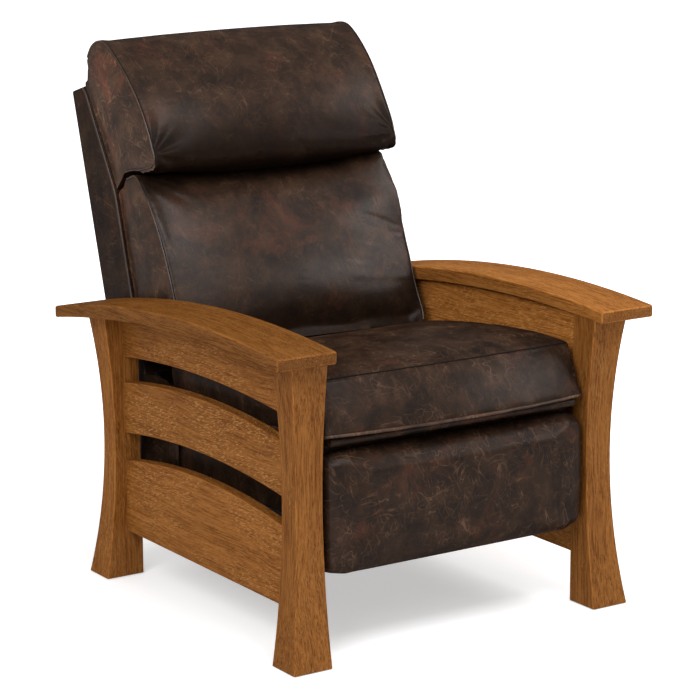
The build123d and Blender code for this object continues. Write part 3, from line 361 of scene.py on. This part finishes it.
def make_woven(name, dark, light, threads):
    """A plain weave: two crossed waves whose product lifts each thread in turn."""
    material, tree, output = start_material(name)
    coordinates = add_node(tree, "TexCoord").outputs["Object"]
    waves = [add_node(tree, "TexWave", {"Vector": coordinates, "Scale": threads,
                                        "Distortion": 0.6}, bands_direction=axis).outputs["Fac"]
             for axis in ("X", "Y")]
    weave = add_node(tree, "Math", {0: waves[0], 1: waves[1]}, operation="MULTIPLY").outputs[0]
    colour = add_ramp(tree, weave, [(0.1, dark), (0.7, light)])
    bump = add_node(tree, "Bump", {"Height": weave, "Strength": 0.4, "Distance": 0.0006})
    surface = add_node(tree, "BsdfPrincipled", {
        "Base Color": colour, "Roughness": 0.9, "Normal": bump.outputs["Normal"]})
    tree.links.new(surface.outputs[0], output.inputs["Surface"])
    return material


inner_wood = make_speckled("inner_wood", (0.36, 0.21, 0.10), (0.52, 0.34, 0.18),
                           (160, 12, 160), 0.65)
plywood = make_speckled("plywood", (0.38, 0.25, 0.13), (0.55, 0.40, 0.23), (25, 90, 350), 0.7)
steel = make_speckled("black_steel", (0.016, 0.016, 0.017), (0.030, 0.030, 0.031),
                      (260, 260, 260), 0.38, metal=0.25, bump_depth=0.0002)
nylon = make_speckled("nylon", (0.62, 0.61, 0.57), (0.72, 0.71, 0.68), (90, 90, 90), 0.45)
felt = make_speckled("felt", (0.05, 0.035, 0.025), (0.12, 0.09, 0.06), (900, 900, 900), 0.95)
webbing = make_woven("webbing", (0.010, 0.010, 0.011), (0.055, 0.052, 0.050), 190)
deck_cloth = make_woven("deck_cloth", (0.016, 0.014, 0.013), (0.050, 0.044, 0.040), 320)


as_they_are = []


def finish_nodes(names, material):
    """Give a finish to CAD nodes that keep their CAD shape."""
    as_they_are.extend(names)
    for name in names:
        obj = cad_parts[name]
        dress(obj, material)


finish_nodes(["corner_blocks", "seat_rear_rail", "back_top_rail", "back_middle_rail"],
             inner_wood)
finish_nodes(["middle_cross_rail", "rear_cross_rail"],
             make_oak("oak_cross_rails", "x", (2.1, 3.4, 0.7), 0.85, flecks=0.6))
finish_nodes(["footrest_board"], plywood)
finish_nodes(["back_ply_left", "back_ply_right", "back_bottom_rail", "seat_front_rail",
              "seat_side_left", "seat_side_right"], leather_shell)
finish_nodes(["tracks", "runners", "hinge_plates", "footrest_mounts", "back_brackets",
              "recline_links", "lift_links", "lift_tube", "lift_guides", "reach_links",
              "reach_guides", "footrest_brackets", "post_studs"], steel)
finish_nodes(["slide_blocks"], nylon)
finish_nodes(["foot_pads"], felt)
finish_nodes(["seat_webbing", "back_webbing"], webbing)
finish_nodes(["seat_deck"], deck_cloth)
print("nodes that keep their CAD shape:", len(as_they_are))

# %% [markdown]
# ## Wooden boards
# The CAD boards are right in shape, but their long curves are made of short flats. A copy is
# merged, so that neighbouring faces share their corners, and shaded smooth, with weighted
# normals that keep the broad faces flat and let the eased arrises roll over. The narrow
# arris faces get a lighter oak, partly stain sanded thin there and partly a painted highlight
# along the rounded edge, and the arm ends show end grain.


# %% Helpers for meshes
def link_mesh(name, mesh):
    """An object for a mesh, in the scene."""
    obj = bpy.data.objects.new(name, mesh)
    scene.collection.objects.link(obj)
    return obj


def merged_copy(node, name):
    """A copy of a CAD node's mesh with its corners merged and its flat faces joined."""
    bm = bmesh.new()
    bm.from_mesh(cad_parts[node].data)
    bmesh.ops.remove_doubles(bm, verts=bm.verts, dist=0.00001)
    bmesh.ops.dissolve_limit(bm, angle_limit=radians(0.3), verts=bm.verts, edges=bm.edges)
    mesh = bpy.data.meshes.new(name)
    bm.to_mesh(mesh)
    bm.free()
    if "custom_normal" in mesh.attributes:
        mesh.attributes.remove(mesh.attributes["custom_normal"])
    return link_mesh(name, mesh)


def shade_eased(obj, sharp_angle=50):
    """Smooth shading that keeps broad faces flat."""
    for polygon in obj.data.polygons:
        polygon.use_smooth = True
    obj.data.set_sharp_from_angle(angle=radians(sharp_angle))
    weighted = obj.modifiers.new("weighted", "WEIGHTED_NORMAL")
    weighted.keep_sharp = True
    weighted.weight = 80


# %% Boards
# Arris faces: partly stain worn thin on the edge, partly a painted highlight along it.
ARRIS_STEEPEST, END_STEEPEST, ARRIS_WEAR_AND_HIGHLIGHT = 0.85, 0.9, 1.3
# Each tone is partly the board's own stain and partly painted light and shade: boards that fall
# in shade are made lighter, most of all top_rail_left, whose inner face the cushions shade, and
# boards that the lamps light strongly are made darker.
boards = {
    "arm_left": ("y", (0.3, 1.1, 0.2), 0.98, 0.3),
    "arm_right": ("y", (2.3, 4.2, 1.4), 0.55, 0.3),
    "post_front_left": ("z", (1.7, 0.2, 3.0), 0.73, 0.35),
    "post_front_right": ("z", (3.1, 1.6, 0.8), 0.73, 0.35),
    "post_rear_left": ("z", (0.9, 2.8, 1.9), 0.86, 0.35),
    "post_rear_right": ("z", (4.4, 0.7, 2.6), 0.85, 0.35),
    "top_rail_left": ("y", (5.2, 1.9, 0.1), 1.42, 0.5),
    "top_rail_right": ("y", (1.2, 3.3, 2.2), 0.84, 0.8),
    "side_slat_left": ("y", (2.9, 0.4, 4.1), 0.90, 1.0),
    "side_slat_right": ("y", (0.5, 5.1, 3.6), 0.77, 1.0),
    "lower_panel_left": ("y", (3.8, 2.4, 1.1), 0.90, 0.6),
    "lower_panel_right": ("y", (1.9, 0.9, 5.3), 0.88, 0.6),
}
for name, (grain, shift, tone, flecks) in boards.items():
    board = merged_copy(name, name + "_oak")
    board.data.materials.append(make_oak(name + "_face", grain, shift, tone, flecks=flecks))
    board.data.materials.append(make_oak(name + "_arris_wear_and_highlight", grain, shift, ARRIS_WEAR_AND_HIGHLIGHT * tone,
                                          flecks=0))
    board.data.materials.append(make_oak(name + "_end", grain, shift, tone, end_grain=True))
    for polygon in board.data.polygons:
        steepest = max(abs(v) for v in polygon.normal)
        if steepest < ARRIS_STEEPEST:
            polygon.material_index = 1
        elif grain == "y" and abs(polygon.normal.y) > END_STEEPEST:
            polygon.material_index = 2
    shade_eased(board)
    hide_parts(name)
    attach(board, "frame")
print("boards:", len(boards))

# %% [markdown]
# ## Stage and light
# Three large soft lamps light the chair: one high to the sitter's right, one high in front and
# one to the sitter's left. Two small ones are hidden from diffuse rays, so that they only add
# sheen to the leather's curves. The sky is an even pale grey that shows as white to the camera
# and in reflections. The pale floor adds a little light of its own for the same rays, and more
# far out, so it shows as white too and still keeps the chair's soft shadow.

# %% Floor
FLOOR_RADIUS, GLOW_NEAR, GLOW_FAR = 40, 0.55, 2.2
bm = bmesh.new()
bmesh.ops.create_circle(bm, cap_ends=True, segments=96, radius=FLOOR_RADIUS)
floor_mesh = bpy.data.meshes.new("floor")
bm.to_mesh(floor_mesh)
bm.free()
floor = link_mesh("floor", floor_mesh)
floor_material, tree, output = start_material("floor_white")
coordinates = add_node(tree, "TexCoord").outputs["Object"]
distance = add_node(tree, "VectorMath", {0: coordinates}, operation="LENGTH").outputs["Value"]
glow = add_node(tree, "MapRange", {"Value": distance, "From Min": GLOW_NEAR,
                                   "From Max": GLOW_FAR, "To Min": 0.46, "To Max": 1.0},
                interpolation_type="SMOOTHSTEP").outputs["Result"]
masked = add_node(tree, "Math", {0: glow, 1: seen_directly(tree)},
                  operation="MULTIPLY").outputs[0]
matt = add_node(tree, "BsdfDiffuse", {"Color": (0.86, 0.855, 0.855, 1)})
white = add_node(tree, "Emission", {"Color": (1, 1, 1, 1), "Strength": masked})
both = add_node(tree, "AddShader", {0: matt.outputs[0], 1: white.outputs[0]})
tree.links.new(both.outputs[0], output.inputs["Surface"])
floor.data.materials.append(floor_material)
print("floor radius:", FLOOR_RADIUS)

# %% Sky and lamps
world = bpy.data.worlds.new("studio")
world.use_nodes = True
tree = world.node_tree
background = tree.nodes["Background"]
background.inputs["Color"].default_value = (1.0, 1.0, 1.0, 1)
strength = add_node(tree, "MapRange", {"Value": seen_directly(tree), "To Min": 0.50,
                                       "To Max": 1.0})
tree.links.new(strength.outputs["Result"], background.inputs["Strength"])
scene.world = world


def add_lamp(name, place, aim, size, power):
    """A square area lamp at place that looks at aim."""
    data = bpy.data.lights.new(name, "AREA")
    data.size = size
    data.energy = power
    lamp = bpy.data.objects.new(name, data)
    scene.collection.objects.link(lamp)
    lamp.location = place
    lamp.rotation_euler = (Vector(aim) - Vector(place)).to_track_quat("-Z", "Y").to_euler()
    return lamp


add_lamp("key", (-3.2, -2.2, 3.0), (0, 0, 0.5), 2.2, 105)
add_lamp("front", (-0.1, -2.4, 3.9), (0, 0, 0.7), 1.8, 88)
add_lamp("side", (3.15, -0.75, 2.55), (0, 0, 0.8), 1.8, 66)
for name, place, size, watts in (("sheen_right", (2.75, -2.55, 1.95), 1.1, 42),
                                 ("sheen_left", (0.5, -3.5, 2.7), 1.0, 14)):
    add_lamp(name, place, (0, 0, 0.7), size, watts)
    bpy.data.objects[name].visible_diffuse = False

# %% [markdown]
# ## Stuffed leather
# A cushion is a sewn case that its filling pushes out everywhere but at the seams. The CAD
# solid gives the case. It is remeshed to even small faces, the seam lines and the face that
# rests on the frame are pinned, and cloth with inner pressure then swells the panels between
# them. Each cushion's own shape function first moves its surface to where use has sagged or
# filled it. The swell is capped, so that the cushion stays in its place.


# %% Helpers for soft meshes
def apply_modifiers(obj):
    """Bake an object's modifiers into its mesh."""
    depsgraph = bpy.context.evaluated_depsgraph_get()
    baked = bpy.data.meshes.new_from_object(obj.evaluated_get(depsgraph))
    obj.modifiers.clear()
    old = obj.data
    obj.data = baked
    bpy.data.meshes.remove(old)


def smooth_mesh(mesh, rounds):
    """Relax a mesh by moving every corner towards its neighbours."""
    bm = bmesh.new()
    bm.from_mesh(mesh)
    for _ in range(rounds):
        bmesh.ops.smooth_vert(bm, verts=bm.verts, factor=0.5, use_axis_x=True,
                              use_axis_y=True, use_axis_z=True)
    bm.to_mesh(mesh)
    bm.free()


def resample(points, step):
    """Points at even steps along a polyline."""
    result = [Vector(points[0])]
    spare = 0.0
    for start, end in zip(points, points[1:]):
        start, end = Vector(start), Vector(end)
        length = (end - start).length
        at = step - spare
        while at <= length:
            result.append(start.lerp(end, at / length))
            at += step
        spare = (spare + length) % step
    return result


def seam_tree(paths, step=0.004):
    """A search tree of the points along seam paths."""
    points = [p for path in paths for p in resample(path, step)]
    tree = KDTree(len(points))
    for index, point in enumerate(points):
        tree.insert(point, index)
    tree.balance()
    return tree


print("helpers for soft meshes ready")


# %% Stuffing
PIN_WIDTH, HOLD_WIDTH, RELAX_ROUNDS = 0.006, 0.02, 2
CLOTH_FRAMES, STIFFNESS = 20, 15.0
BELL_BASE, BELL_REACH = 2.718, 3
SIDE_STEEPNESS = 0.72


def stuff(obj, voxel, seams, rest, pressure, cap, inset, shape):
    """Remesh and shape a case, pin its seams and its resting side, and let pressure fill it."""
    remesh = obj.modifiers.new("remesh", "REMESH")
    remesh.mode = "VOXEL"
    remesh.voxel_size = voxel
    apply_modifiers(obj)
    smooth_mesh(obj.data, RELAX_ROUNDS)
    for vertex in obj.data.vertices:
        vertex.co = shape(vertex.co)
    obj.data.update()
    pins = seam_tree(seams)
    start = [v.co.copy() for v in obj.data.vertices]
    normals = [v.normal.copy() for v in obj.data.vertices]
    group = obj.vertex_groups.new(name="pinned")
    for vertex in obj.data.vertices:
        near = pins.find(vertex.co)[2]
        if near < PIN_WIDTH or rest(vertex.co):
            group.add([vertex.index], 1.0, "REPLACE")
        else:
            hold = min(1.0, (near - PIN_WIDTH) / HOLD_WIDTH)
            vertex.co = vertex.co - normals[vertex.index] * inset * hold
    cloth = obj.modifiers.new("cloth", "CLOTH")
    cloth.settings.use_pressure = True
    cloth.settings.uniform_pressure_force = pressure
    cloth.settings.vertex_group_mass = "pinned"
    cloth.settings.effector_weights.gravity = 0
    cloth.settings.quality = 6
    cloth.settings.mass = 0.3
    cloth.settings.tension_stiffness = STIFFNESS
    cloth.settings.compression_stiffness = STIFFNESS
    cloth.settings.shear_stiffness = 6
    cloth.settings.bending_stiffness = 1.2
    cloth.settings.air_damping = 2
    cloth.point_cache.frame_start = 1
    cloth.point_cache.frame_end = CLOTH_FRAMES + 1
    for number in range(1, CLOTH_FRAMES + 1):
        scene.frame_set(number)
    apply_modifiers(obj)
    scene.frame_set(1)
    for vertex, home in zip(obj.data.vertices, start):
        moved = vertex.co - home
        if moved.length > cap:
            vertex.co = home + moved * (cap / moved.length)
    obj.vertex_groups.clear()
    return obj


def press_seams(obj, seams, depth, width):
    """Draw the surface in along its seams."""
    pins = seam_tree(seams, 0.002)
    mesh = obj.data
    for vertex, normal in zip(mesh.vertices, [v.normal.copy() for v in mesh.vertices]):
        near = pins.find(vertex.co)[2]
        if near < BELL_REACH * width:
            vertex.co -= normal * depth * BELL_BASE ** (-(near / width) ** 2)
    mesh.update()


def subdivide_piece(obj):
    """One smoothing subdivision, applied, and smooth shading."""
    fine = obj.modifiers.new("fine", "SUBSURF")
    fine.levels = fine.render_levels = 1
    apply_modifiers(obj)
    for polygon in obj.data.polygons:
        polygon.use_smooth = True


def face_sides(obj, material):
    """Give the side panels of a cushion the much lighter leather that paints light on them."""
    obj.data.materials.append(material)
    for polygon in obj.data.polygons:
        if abs(polygon.normal.x) > SIDE_STEEPNESS:
            polygon.material_index = 1


print("stuffing ready")

# %% [markdown]
# ## Sewn edges
# Piping and thread are thin round lines. A curve with a bevel draws one along any path, and it
# becomes a mesh at once. The path is first laid on the nearest skin, so that it follows the
# swell of the cushion, and then relaxed, because real piping never kinks.


# %% Sewn edges
EDGE_STEP, STITCH_INSET = 0.006, 0.986


def make_cord_edge(name, path, radius, body, material, surface=None, lift=0.0):
    """A sewn edge: a thin tube along a path, laid on a surface where one is given."""
    points = resample(path, EDGE_STEP)
    if surface is not None:
        tree = BVHTree.FromObject(surface, bpy.context.evaluated_depsgraph_get())
        laid = []
        for point in points:
            hit, normal, _, _ = tree.find_nearest(point)
            laid.append(hit + normal * lift if hit else point)
        points = laid
    for _ in range(2):
        inner = points[1:-1]
        points = ([points[0]] + [(points[i] + p * 2 + points[i + 2]) / 4
                                 for i, p in enumerate(inner)] + [points[-1]])
    curve = bpy.data.curves.new(name, "CURVE")
    curve.dimensions = "3D"
    curve.bevel_depth = radius
    curve.bevel_resolution = 2
    curve.use_fill_caps = True
    spline = curve.splines.new("POLY")
    spline.points.add(len(points) - 1)
    for knot, point in zip(spline.points, points):
        knot.co = (*point, 1)
    drawn = bpy.data.objects.new(name + "_line", curve)
    scene.collection.objects.link(drawn)
    depsgraph = bpy.context.evaluated_depsgraph_get()
    mesh = bpy.data.meshes.new_from_object(drawn.evaluated_get(depsgraph))
    bpy.data.objects.remove(drawn)
    obj = link_mesh(name, mesh)
    dress(obj, material)
    for polygon in obj.data.polygons:
        polygon.use_smooth = True
    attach(obj, body)
    return obj


print("sewn edges ready")

# %% [markdown]
# ## Where the cushions sit
# The seat falls 5.3 degrees to the rear, and the back leans 16.15 degrees. Seams are drawn in
# those two planes: lengths along the deck and above it, and lengths ahead of the back's rear
# plane and up from its top.

# %% Planes of the seat and the back
PITCH = radians(5.3)
LEAN = radians(16.15)
DECK_Y, DECK_Z = -0.481, 0.450
BACK_Y, BACK_Z = 0.5382, 1.021


def on_deck(x, along, above):
    """A point on the seat, from its distance along the deck and above it."""
    return Vector((x, DECK_Y + along * cos(PITCH) + above * sin(PITCH),
                   DECK_Z - along * sin(PITCH) + above * cos(PITCH)))


def on_back(x, ahead, up):
    """A point on the back, from its distance ahead of the rear plane and up from the top."""
    return Vector((x, BACK_Y - ahead * cos(LEAN) + up * sin(LEAN),
                   BACK_Z + ahead * sin(LEAN) + up * cos(LEAN)))


def deck_place(point):
    """Distances of a point along the deck and above it."""
    away, rise = point.y - DECK_Y, point.z - DECK_Z
    return (away * cos(PITCH) - rise * sin(PITCH), away * sin(PITCH) + rise * cos(PITCH))


def back_place(point):
    """Distances of a point ahead of the back's rear plane and up from its top."""
    away, rise = point.y - BACK_Y, point.z - BACK_Z
    return (-away * cos(LEAN) + rise * sin(LEAN), away * sin(LEAN) + rise * cos(LEAN))


def arc_points(start, middle, end, count=12):
    """Points of the parabola-like bend through three points of a plane."""
    result = []
    for i in range(count + 1):
        t = i / count
        a, b, c = (1 - t) * (1 - 2 * t), 4 * t * (1 - t), t * (2 * t - 1)
        result.append((a * start[0] + b * middle[0] + c * end[0],
                       a * start[1] + b * middle[1] + c * end[1]))
    return result


def fullness(share):
    """How full a cushion is at a share of its half width."""
    return 1 - abs(share) ** 2.4


def ease(value):
    """A smooth step from 0 to 1."""
    value = min(1.0, max(0.0, value))
    return value * value * (3 - 2 * value)


print("seat front edge at", [round(v, 3) for v in on_deck(0, 0, 0)])

# %% [markdown]
# ## Seat cushion
# A box cushion with a crowned top. Its boxing leans back from a welt at the bottom front to a
# seam at the top, and both run back along the sides.

# %% Seat cushion
seat_half, between_posts = 0.316, 0.3205
front_steps = [i / 20 - 1 for i in range(41)]
seat_top_seam = [on_deck(s * seat_half, 0.035 - 0.030 * fullness(s), 0.113 + 0.004 * fullness(s))
                 for s in front_steps]
seat_bottom_seam = [on_deck(s * seat_half, -0.005 - 0.035 * fullness(s), 0.002)
                    for s in front_steps]
side_crown = arc_points((0.035, 0.113), (0.282, 0.128), (0.587, 0.095))
seat_side_seams = [[on_deck(x, a, h) for a, h in side_crown] for x in (-seat_half, seat_half)]
seat_foot_seams = [[on_deck(x, -0.005, 0.002), on_deck(x, 0.587, 0.002)]
                   for x in (-seat_half, seat_half)]
seat_seams = [seat_top_seam, seat_bottom_seam, *seat_side_seams, *seat_foot_seams]


def fill_rear(point):
    """Raise the rear corners, where the back's foot leans on the seat, and the front seam."""
    away, rise = deck_place(point)
    outer = min(1.0, max(0.0, (abs(point.x) / seat_half - 0.5) / 0.4))
    lift = 0.010 * outer * min(1.0, max(0.0, (away - 0.30) / 0.2)) * min(1.0, rise / 0.09)
    lift += 0.005 * min(1.0, max(0.0, (0.40 - away) / 0.3)) * min(1.0, max(0.0, rise / 0.10))
    return on_deck(point.x * 1.016, away, rise + lift)


seat_pad = merged_copy("seat_cushion", "seat_pad")
stuff(seat_pad, 0.006, seat_seams, lambda p: deck_place(p)[1] < 0.004 or deck_place(p)[0] > 0.58,
      pressure=7.0, cap=0.012, inset=0.004, shape=fill_rear)
for vertex in seat_pad.data.vertices:
    vertex.co.x = max(-between_posts, min(between_posts, vertex.co.x))
press_seams(seat_pad, seat_seams[:4], 0.0035, 0.006)
subdivide_piece(seat_pad)
dress(seat_pad, leather)
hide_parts("seat_cushion")
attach(seat_pad, "seat")
print("seat pad faces:", len(seat_pad.data.polygons))

# %% Seat welts
bottom_run = ([seat_foot_seams[0][1]] + seat_bottom_seam + [seat_foot_seams[1][1]])
top_run = list(reversed(seat_side_seams[0])) + seat_top_seam[1:-1] + seat_side_seams[1]
# The bottom welt takes the side leather, whose lighter colour is painted light.
make_cord_edge("seat_welt_bottom", bottom_run, 0.0034, "seat", leather_side_painted_light, seat_pad,
                       0.0014)
make_cord_edge("seat_seam_top", top_run, 0.0016, "seat", thread, seat_pad, 0.0002)

# %% [markdown]
# ## Lower back cushion
# The front panel runs down from the crease under the pillow and flares out over the seat. On
# each side a piped seam joins it to the side panel, with a line of thread beside it. The
# cushion's shoulder is fuller at the sitter's left, where it fills the crease.

# %% Lower back cushion
back_half = 0.306
reach, height, foot = 0.303, 0.618 - 0.217 - 0.0003, 0.618
cushion_side = {
    "tuck": (0.587, 0.993), "rim": (0.680, 1), "rim_bend": (0.727, 0.988),
    "shoulder": (0.752, 0.955), "chest": (0.911, 0.676), "hip": (0.997, 0.290),
    "flare": (1.035, 0.130), "toe": (1.106, 0.005)}
side = {k: (reach * a, -foot + height * b) for k, (a, b) in cushion_side.items()}
side_line = ([side["tuck"]] + arc_points(side["rim"], side["rim_bend"], side["shoulder"], 6)
             + arc_points(side["shoulder"], side["chest"], side["hip"], 16)[1:]
             + arc_points(side["hip"], side["flare"], side["toe"], 8)[1:])
back_side_seams = [[on_back(x, v, u) for v, u in side_line] for x in (-back_half, back_half)]


def lay_on_seat(point):
    """Lower the foot of the cushion on to the seat and fill its shoulder under the pillow."""
    ahead, up = back_place(point)
    share = point.x / back_half
    front_share = ease((ahead - 0.18) / 0.08)
    foot_share = ease((-0.53 - up) / 0.075)
    drop = (0.014 + 0.006 * abs(share) ** 3) * foot_share * front_share
    tuck = 0.020 * fullness(min(1.0, abs(share))) * foot_share * front_share
    shoulder = ease((ahead - 0.16) / 0.06) * ease((up + 0.43) / 0.13) * ease((-0.222 - up) / 0.02)
    fill = (0.006 + 0.026 * ease((share - 0.1) / 0.8)) * shoulder
    rise = (0.013 * ease((share - 0.55) / 0.4) * ease((ahead - 0.13) / 0.05)
            * ease((up + 0.29) / 0.05))
    return on_back(point.x, ahead - tuck + fill, up - drop + rise)


back_pad = merged_copy("back_cushion", "back_pad")
stuff(back_pad, 0.006, back_side_seams, lambda p: back_place(p)[0] < 0.133,
      pressure=7.0, cap=0.014, inset=0.004, shape=lay_on_seat)
press_seams(back_pad, back_side_seams, 0.004, 0.006)
subdivide_piece(back_pad)
dress(back_pad, leather_back)
face_sides(back_pad, leather_side_painted_light)
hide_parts("back_cushion")
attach(back_pad, "back")
for label, line in zip(("right", "left"), back_side_seams):
    make_cord_edge("back_seam_" + label, line, 0.0023, "back", piping, back_pad,
                           0.0008)
    stitch = [Vector((p.x * STITCH_INSET, p.y, p.z)) for p in line]
    make_cord_edge("back_stitch_" + label, stitch, 0.0014, "back", thread, back_pad,
                           0.0001)
print("back pad faces:", len(back_pad.data.polygons))

# %% [markdown]
# ## Head pillow
# A wedge that bulges low over the cushion below it. Side panels close its ends, and its skin is
# tucked under, which leaves a deep crease. Where it is tucked, the lower corners pucker: a fan
# of small folds round each corner is moved into the mesh after the stuffing. Use has left the
# pillow a little higher and wider at the sitter's left.

# %% Head pillow
pillow_half = 0.308
reach, foot, height = 0.316, 0.217, 0.217 + 0.080
pillow_side = {
    "tip": (0.304, 0.920), "top": (0.443, 1), "crest": (0.608, 0.947), "brow": (0.867, 0.555),
    "nose": (1, 0.103), "chin": (0.994, 0.033), "jaw": (0.953, 0), "tuck": (0.563, 0.020)}
side = {k: (reach * a, -foot + height * b) for k, (a, b) in pillow_side.items()}
side_line = (arc_points(side["tip"], side["top"], side["crest"], 8)
             + arc_points(side["crest"], side["brow"], side["nose"], 16)[1:]
             + arc_points(side["nose"], side["chin"], side["jaw"], 4)[1:] + [side["tuck"]])
pillow_seams = [[on_back(x * (1 + grow * ease((u + 0.14) / 0.20)), v,
                         u + rise * ease((u + 0.14) / 0.20)) for v, u in side_line]
                for x, grow, rise in ((-pillow_half, 0.013, 0.003), (pillow_half, 0.029, 0.010))]


def hang_over(point):
    """Let the pillow's nose sag over the cushion below it, and fill its crown."""
    ahead, up = back_place(point)
    full = fullness(min(1.0, abs(point.x) / pillow_half))
    sag = ease((-up - 0.10) / 0.10) * ease((ahead - 0.215) / 0.05) * (0.010 + 0.010 * full)
    bulge = 0.010 * full * ease((up + 0.215) / 0.05) * ease((ahead - 0.12) / 0.08)
    crown = ease((up + 0.14) / 0.20)
    hand = 0.5 + 0.5 * point.x / pillow_half
    wide = (0.004 + 0.005 * hand) * crown * point.x / pillow_half
    return on_back(point.x + wide, ahead + bulge, up - sag + (0.003 + 0.007 * hand) * crown)


pillow = merged_copy("head_pillow", "pillow")
stuff(pillow, 0.006, pillow_seams,
      lambda p: back_place(p)[0] < 0.070 + max(0.0, -back_place(p)[1]) * 0.26,
      pressure=7.0, cap=0.014, inset=0.004, shape=hang_over)
corner_up, pucker_reach, pucker_depth = -0.195, 0.12, 0.0026
for vertex, normal in zip(pillow.data.vertices, [v.normal.copy() for v in pillow.data.vertices]):
    ahead, up = back_place(vertex.co)
    inward = pillow_half - abs(vertex.co.x)
    away = Vector((inward, up - corner_up))
    if ahead > 0.16 and away.length < pucker_reach:
        fold = cos(8.5 * away.angle(Vector((1, 0)), 0.0) + 0.6 * (vertex.co.x > 0))
        fade = ease(away.length / 0.03) * ease((pucker_reach - away.length) / 0.07)
        vertex.co += normal * pucker_depth * fold * fade
press_seams(pillow, pillow_seams, 0.004, 0.006)
subdivide_piece(pillow)
dress(pillow, leather_pillow)
face_sides(pillow, leather_side_painted_light)
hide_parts("head_pillow")
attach(pillow, "back")
for label, line in zip(("right", "left"), pillow_seams):
    make_cord_edge("pillow_seam_" + label, line, 0.0023, "back", piping, pillow,
                           0.0008)
    stitch = [Vector((p.x * STITCH_INSET, p.y, p.z)) for p in line]
    make_cord_edge("pillow_stitch_" + label, stitch, 0.0014, "back", thread, pillow,
                           0.0001)
print("pillow faces:", len(pillow.data.polygons))

# %% [markdown]
# ## Footrest
# One skin is drawn over a foam pad and stapled behind the board, so there is no seam in front.
# It has little room to swell, so low pressure and a few rounds of smoothing keep it taut.

# %% Footrest
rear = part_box("footrest_pad")[1].y


def drop_skirt(point):
    """Let the skin round its foam: fuller in front and lower at the bottom."""
    front = ease((rear - 0.006 - point.y) / 0.03)
    low = ease((0.32 - point.z) / 0.12)
    return Vector((point.x * 1.012, point.y - 0.006 * front, point.z - 0.012 * low - 0.002))


footrest = merged_copy("footrest_pad", "footrest_skin")
stuff(footrest, 0.005, [[(-0.3, rear, 0.18), (0.3, rear, 0.18)]],
      lambda p: p.y > rear - 0.024, pressure=2.0, cap=0.005, inset=0.0015, shape=drop_skirt)
smooth_mesh(footrest.data, 6)
subdivide_piece(footrest)
dress(footrest, leather_footrest)
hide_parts("footrest_pad")
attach(footrest, "footrest")
print("footrest faces:", len(footrest.data.polygons))

# %% [markdown]
# ## Leather over the frames
# The seat box and the back's shell are covered boards. Their leather lies flat with soft edges,
# so a bevel with a few segments and smooth shading is enough. Piping runs down the front edge
# of the shell on each side, as far as the arms, which hide the rest.


# %% Covered frames
def cover(node, body, name, radius, material):
    """A covered board: a merged copy with rolled edges."""
    obj = merged_copy(node, name)
    bevel = obj.modifiers.new("rolled", "BEVEL")
    bevel.width = radius
    bevel.segments = 3
    bevel.limit_method = "ANGLE"
    bevel.angle_limit = radians(35)
    shade_eased(obj, 60)
    obj.data.materials.append(material)
    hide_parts(node)
    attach(obj, body)
    return obj


for node in ("back_cover_left", "back_cover_right", "back_cover_rear", "back_cover_top"):
    cover(node, "back", node + "_skin", 0.0012, leather_shell)
for node in ("seat_cover_left", "seat_cover_right"):
    cover(node, "seat", node + "_skin", 0.0012, leather_shell)
border = cover("seat_border", "seat", "seat_border_skin", 0.002, leather)
for x, label in ((-0.3095, "right"), (0.3095, "left")):
    roll = [on_back(x, 0.056, -0.004), on_back(x, 0.064, -0.012),
            on_back(x, 0.1265, -0.241), on_back(x, 0.1280, -0.262), on_back(x, 0.1280, -0.520)]
    make_cord_edge("shell_roll_" + label, roll, 0.0030, "back", piping)

# %% [markdown]
# ## Apron of the back
# Through the side slots one sees leather all the way to the rear post. Below its boards the
# shell's leather hangs on as a stiff lined apron, with one soft fold, and hides the hinge. A
# grid is bent to the outline and given its thickness.

# %% Apron
APRON_X, APRON_WALL, FOLD_DEPTH = 0.3046, 0.0016, 0.0022
apron_top = [(0.098, 0.430), (0.150, 0.446), (0.205, 0.446), (0.240, 0.440), (0.280, 0.400),
             (0.334, 0.332)]
apron_foot = [(0.098, 0.262), (0.155, 0.248), (0.210, 0.246), (0.246, 0.248), (0.276, 0.243),
              (0.334, 0.316)]


def point_along(points, share):
    """A point at a share of the way along a few evenly counted points."""
    place = min(share, 0.9999) * (len(points) - 1)
    index = int(place)
    return Vector(points[index]).lerp(Vector(points[index + 1]), place - index)


for hand, label in ((-1, "right"), (1, "left")):
    bm = bmesh.new()
    bmesh.ops.create_grid(bm, x_segments=36, y_segments=16, size=0.5)
    for vertex in bm.verts:
        share, rise = vertex.co.x + 0.5, vertex.co.y + 0.5
        spot = point_along(apron_foot, share).lerp(point_along(apron_top, share), rise)
        fold = FOLD_DEPTH * sin(11 * share + 1.4 * rise) * (1 - rise * 0.5)
        vertex.co = (hand * (APRON_X + fold), spot.x, spot.y)
    bmesh.ops.recalc_face_normals(bm, faces=bm.faces)
    bmesh.ops.solidify(bm, geom=bm.faces, thickness=APRON_WALL)
    bmesh.ops.recalc_face_normals(bm, faces=bm.faces)
    apron_mesh = bpy.data.meshes.new("back_apron_" + label)
    bm.to_mesh(apron_mesh)
    bm.free()
    apron = link_mesh("back_apron_" + label, apron_mesh)
    apron.data.materials.append(leather_shell)
    shade_eased(apron, 60)
    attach(apron, "back")
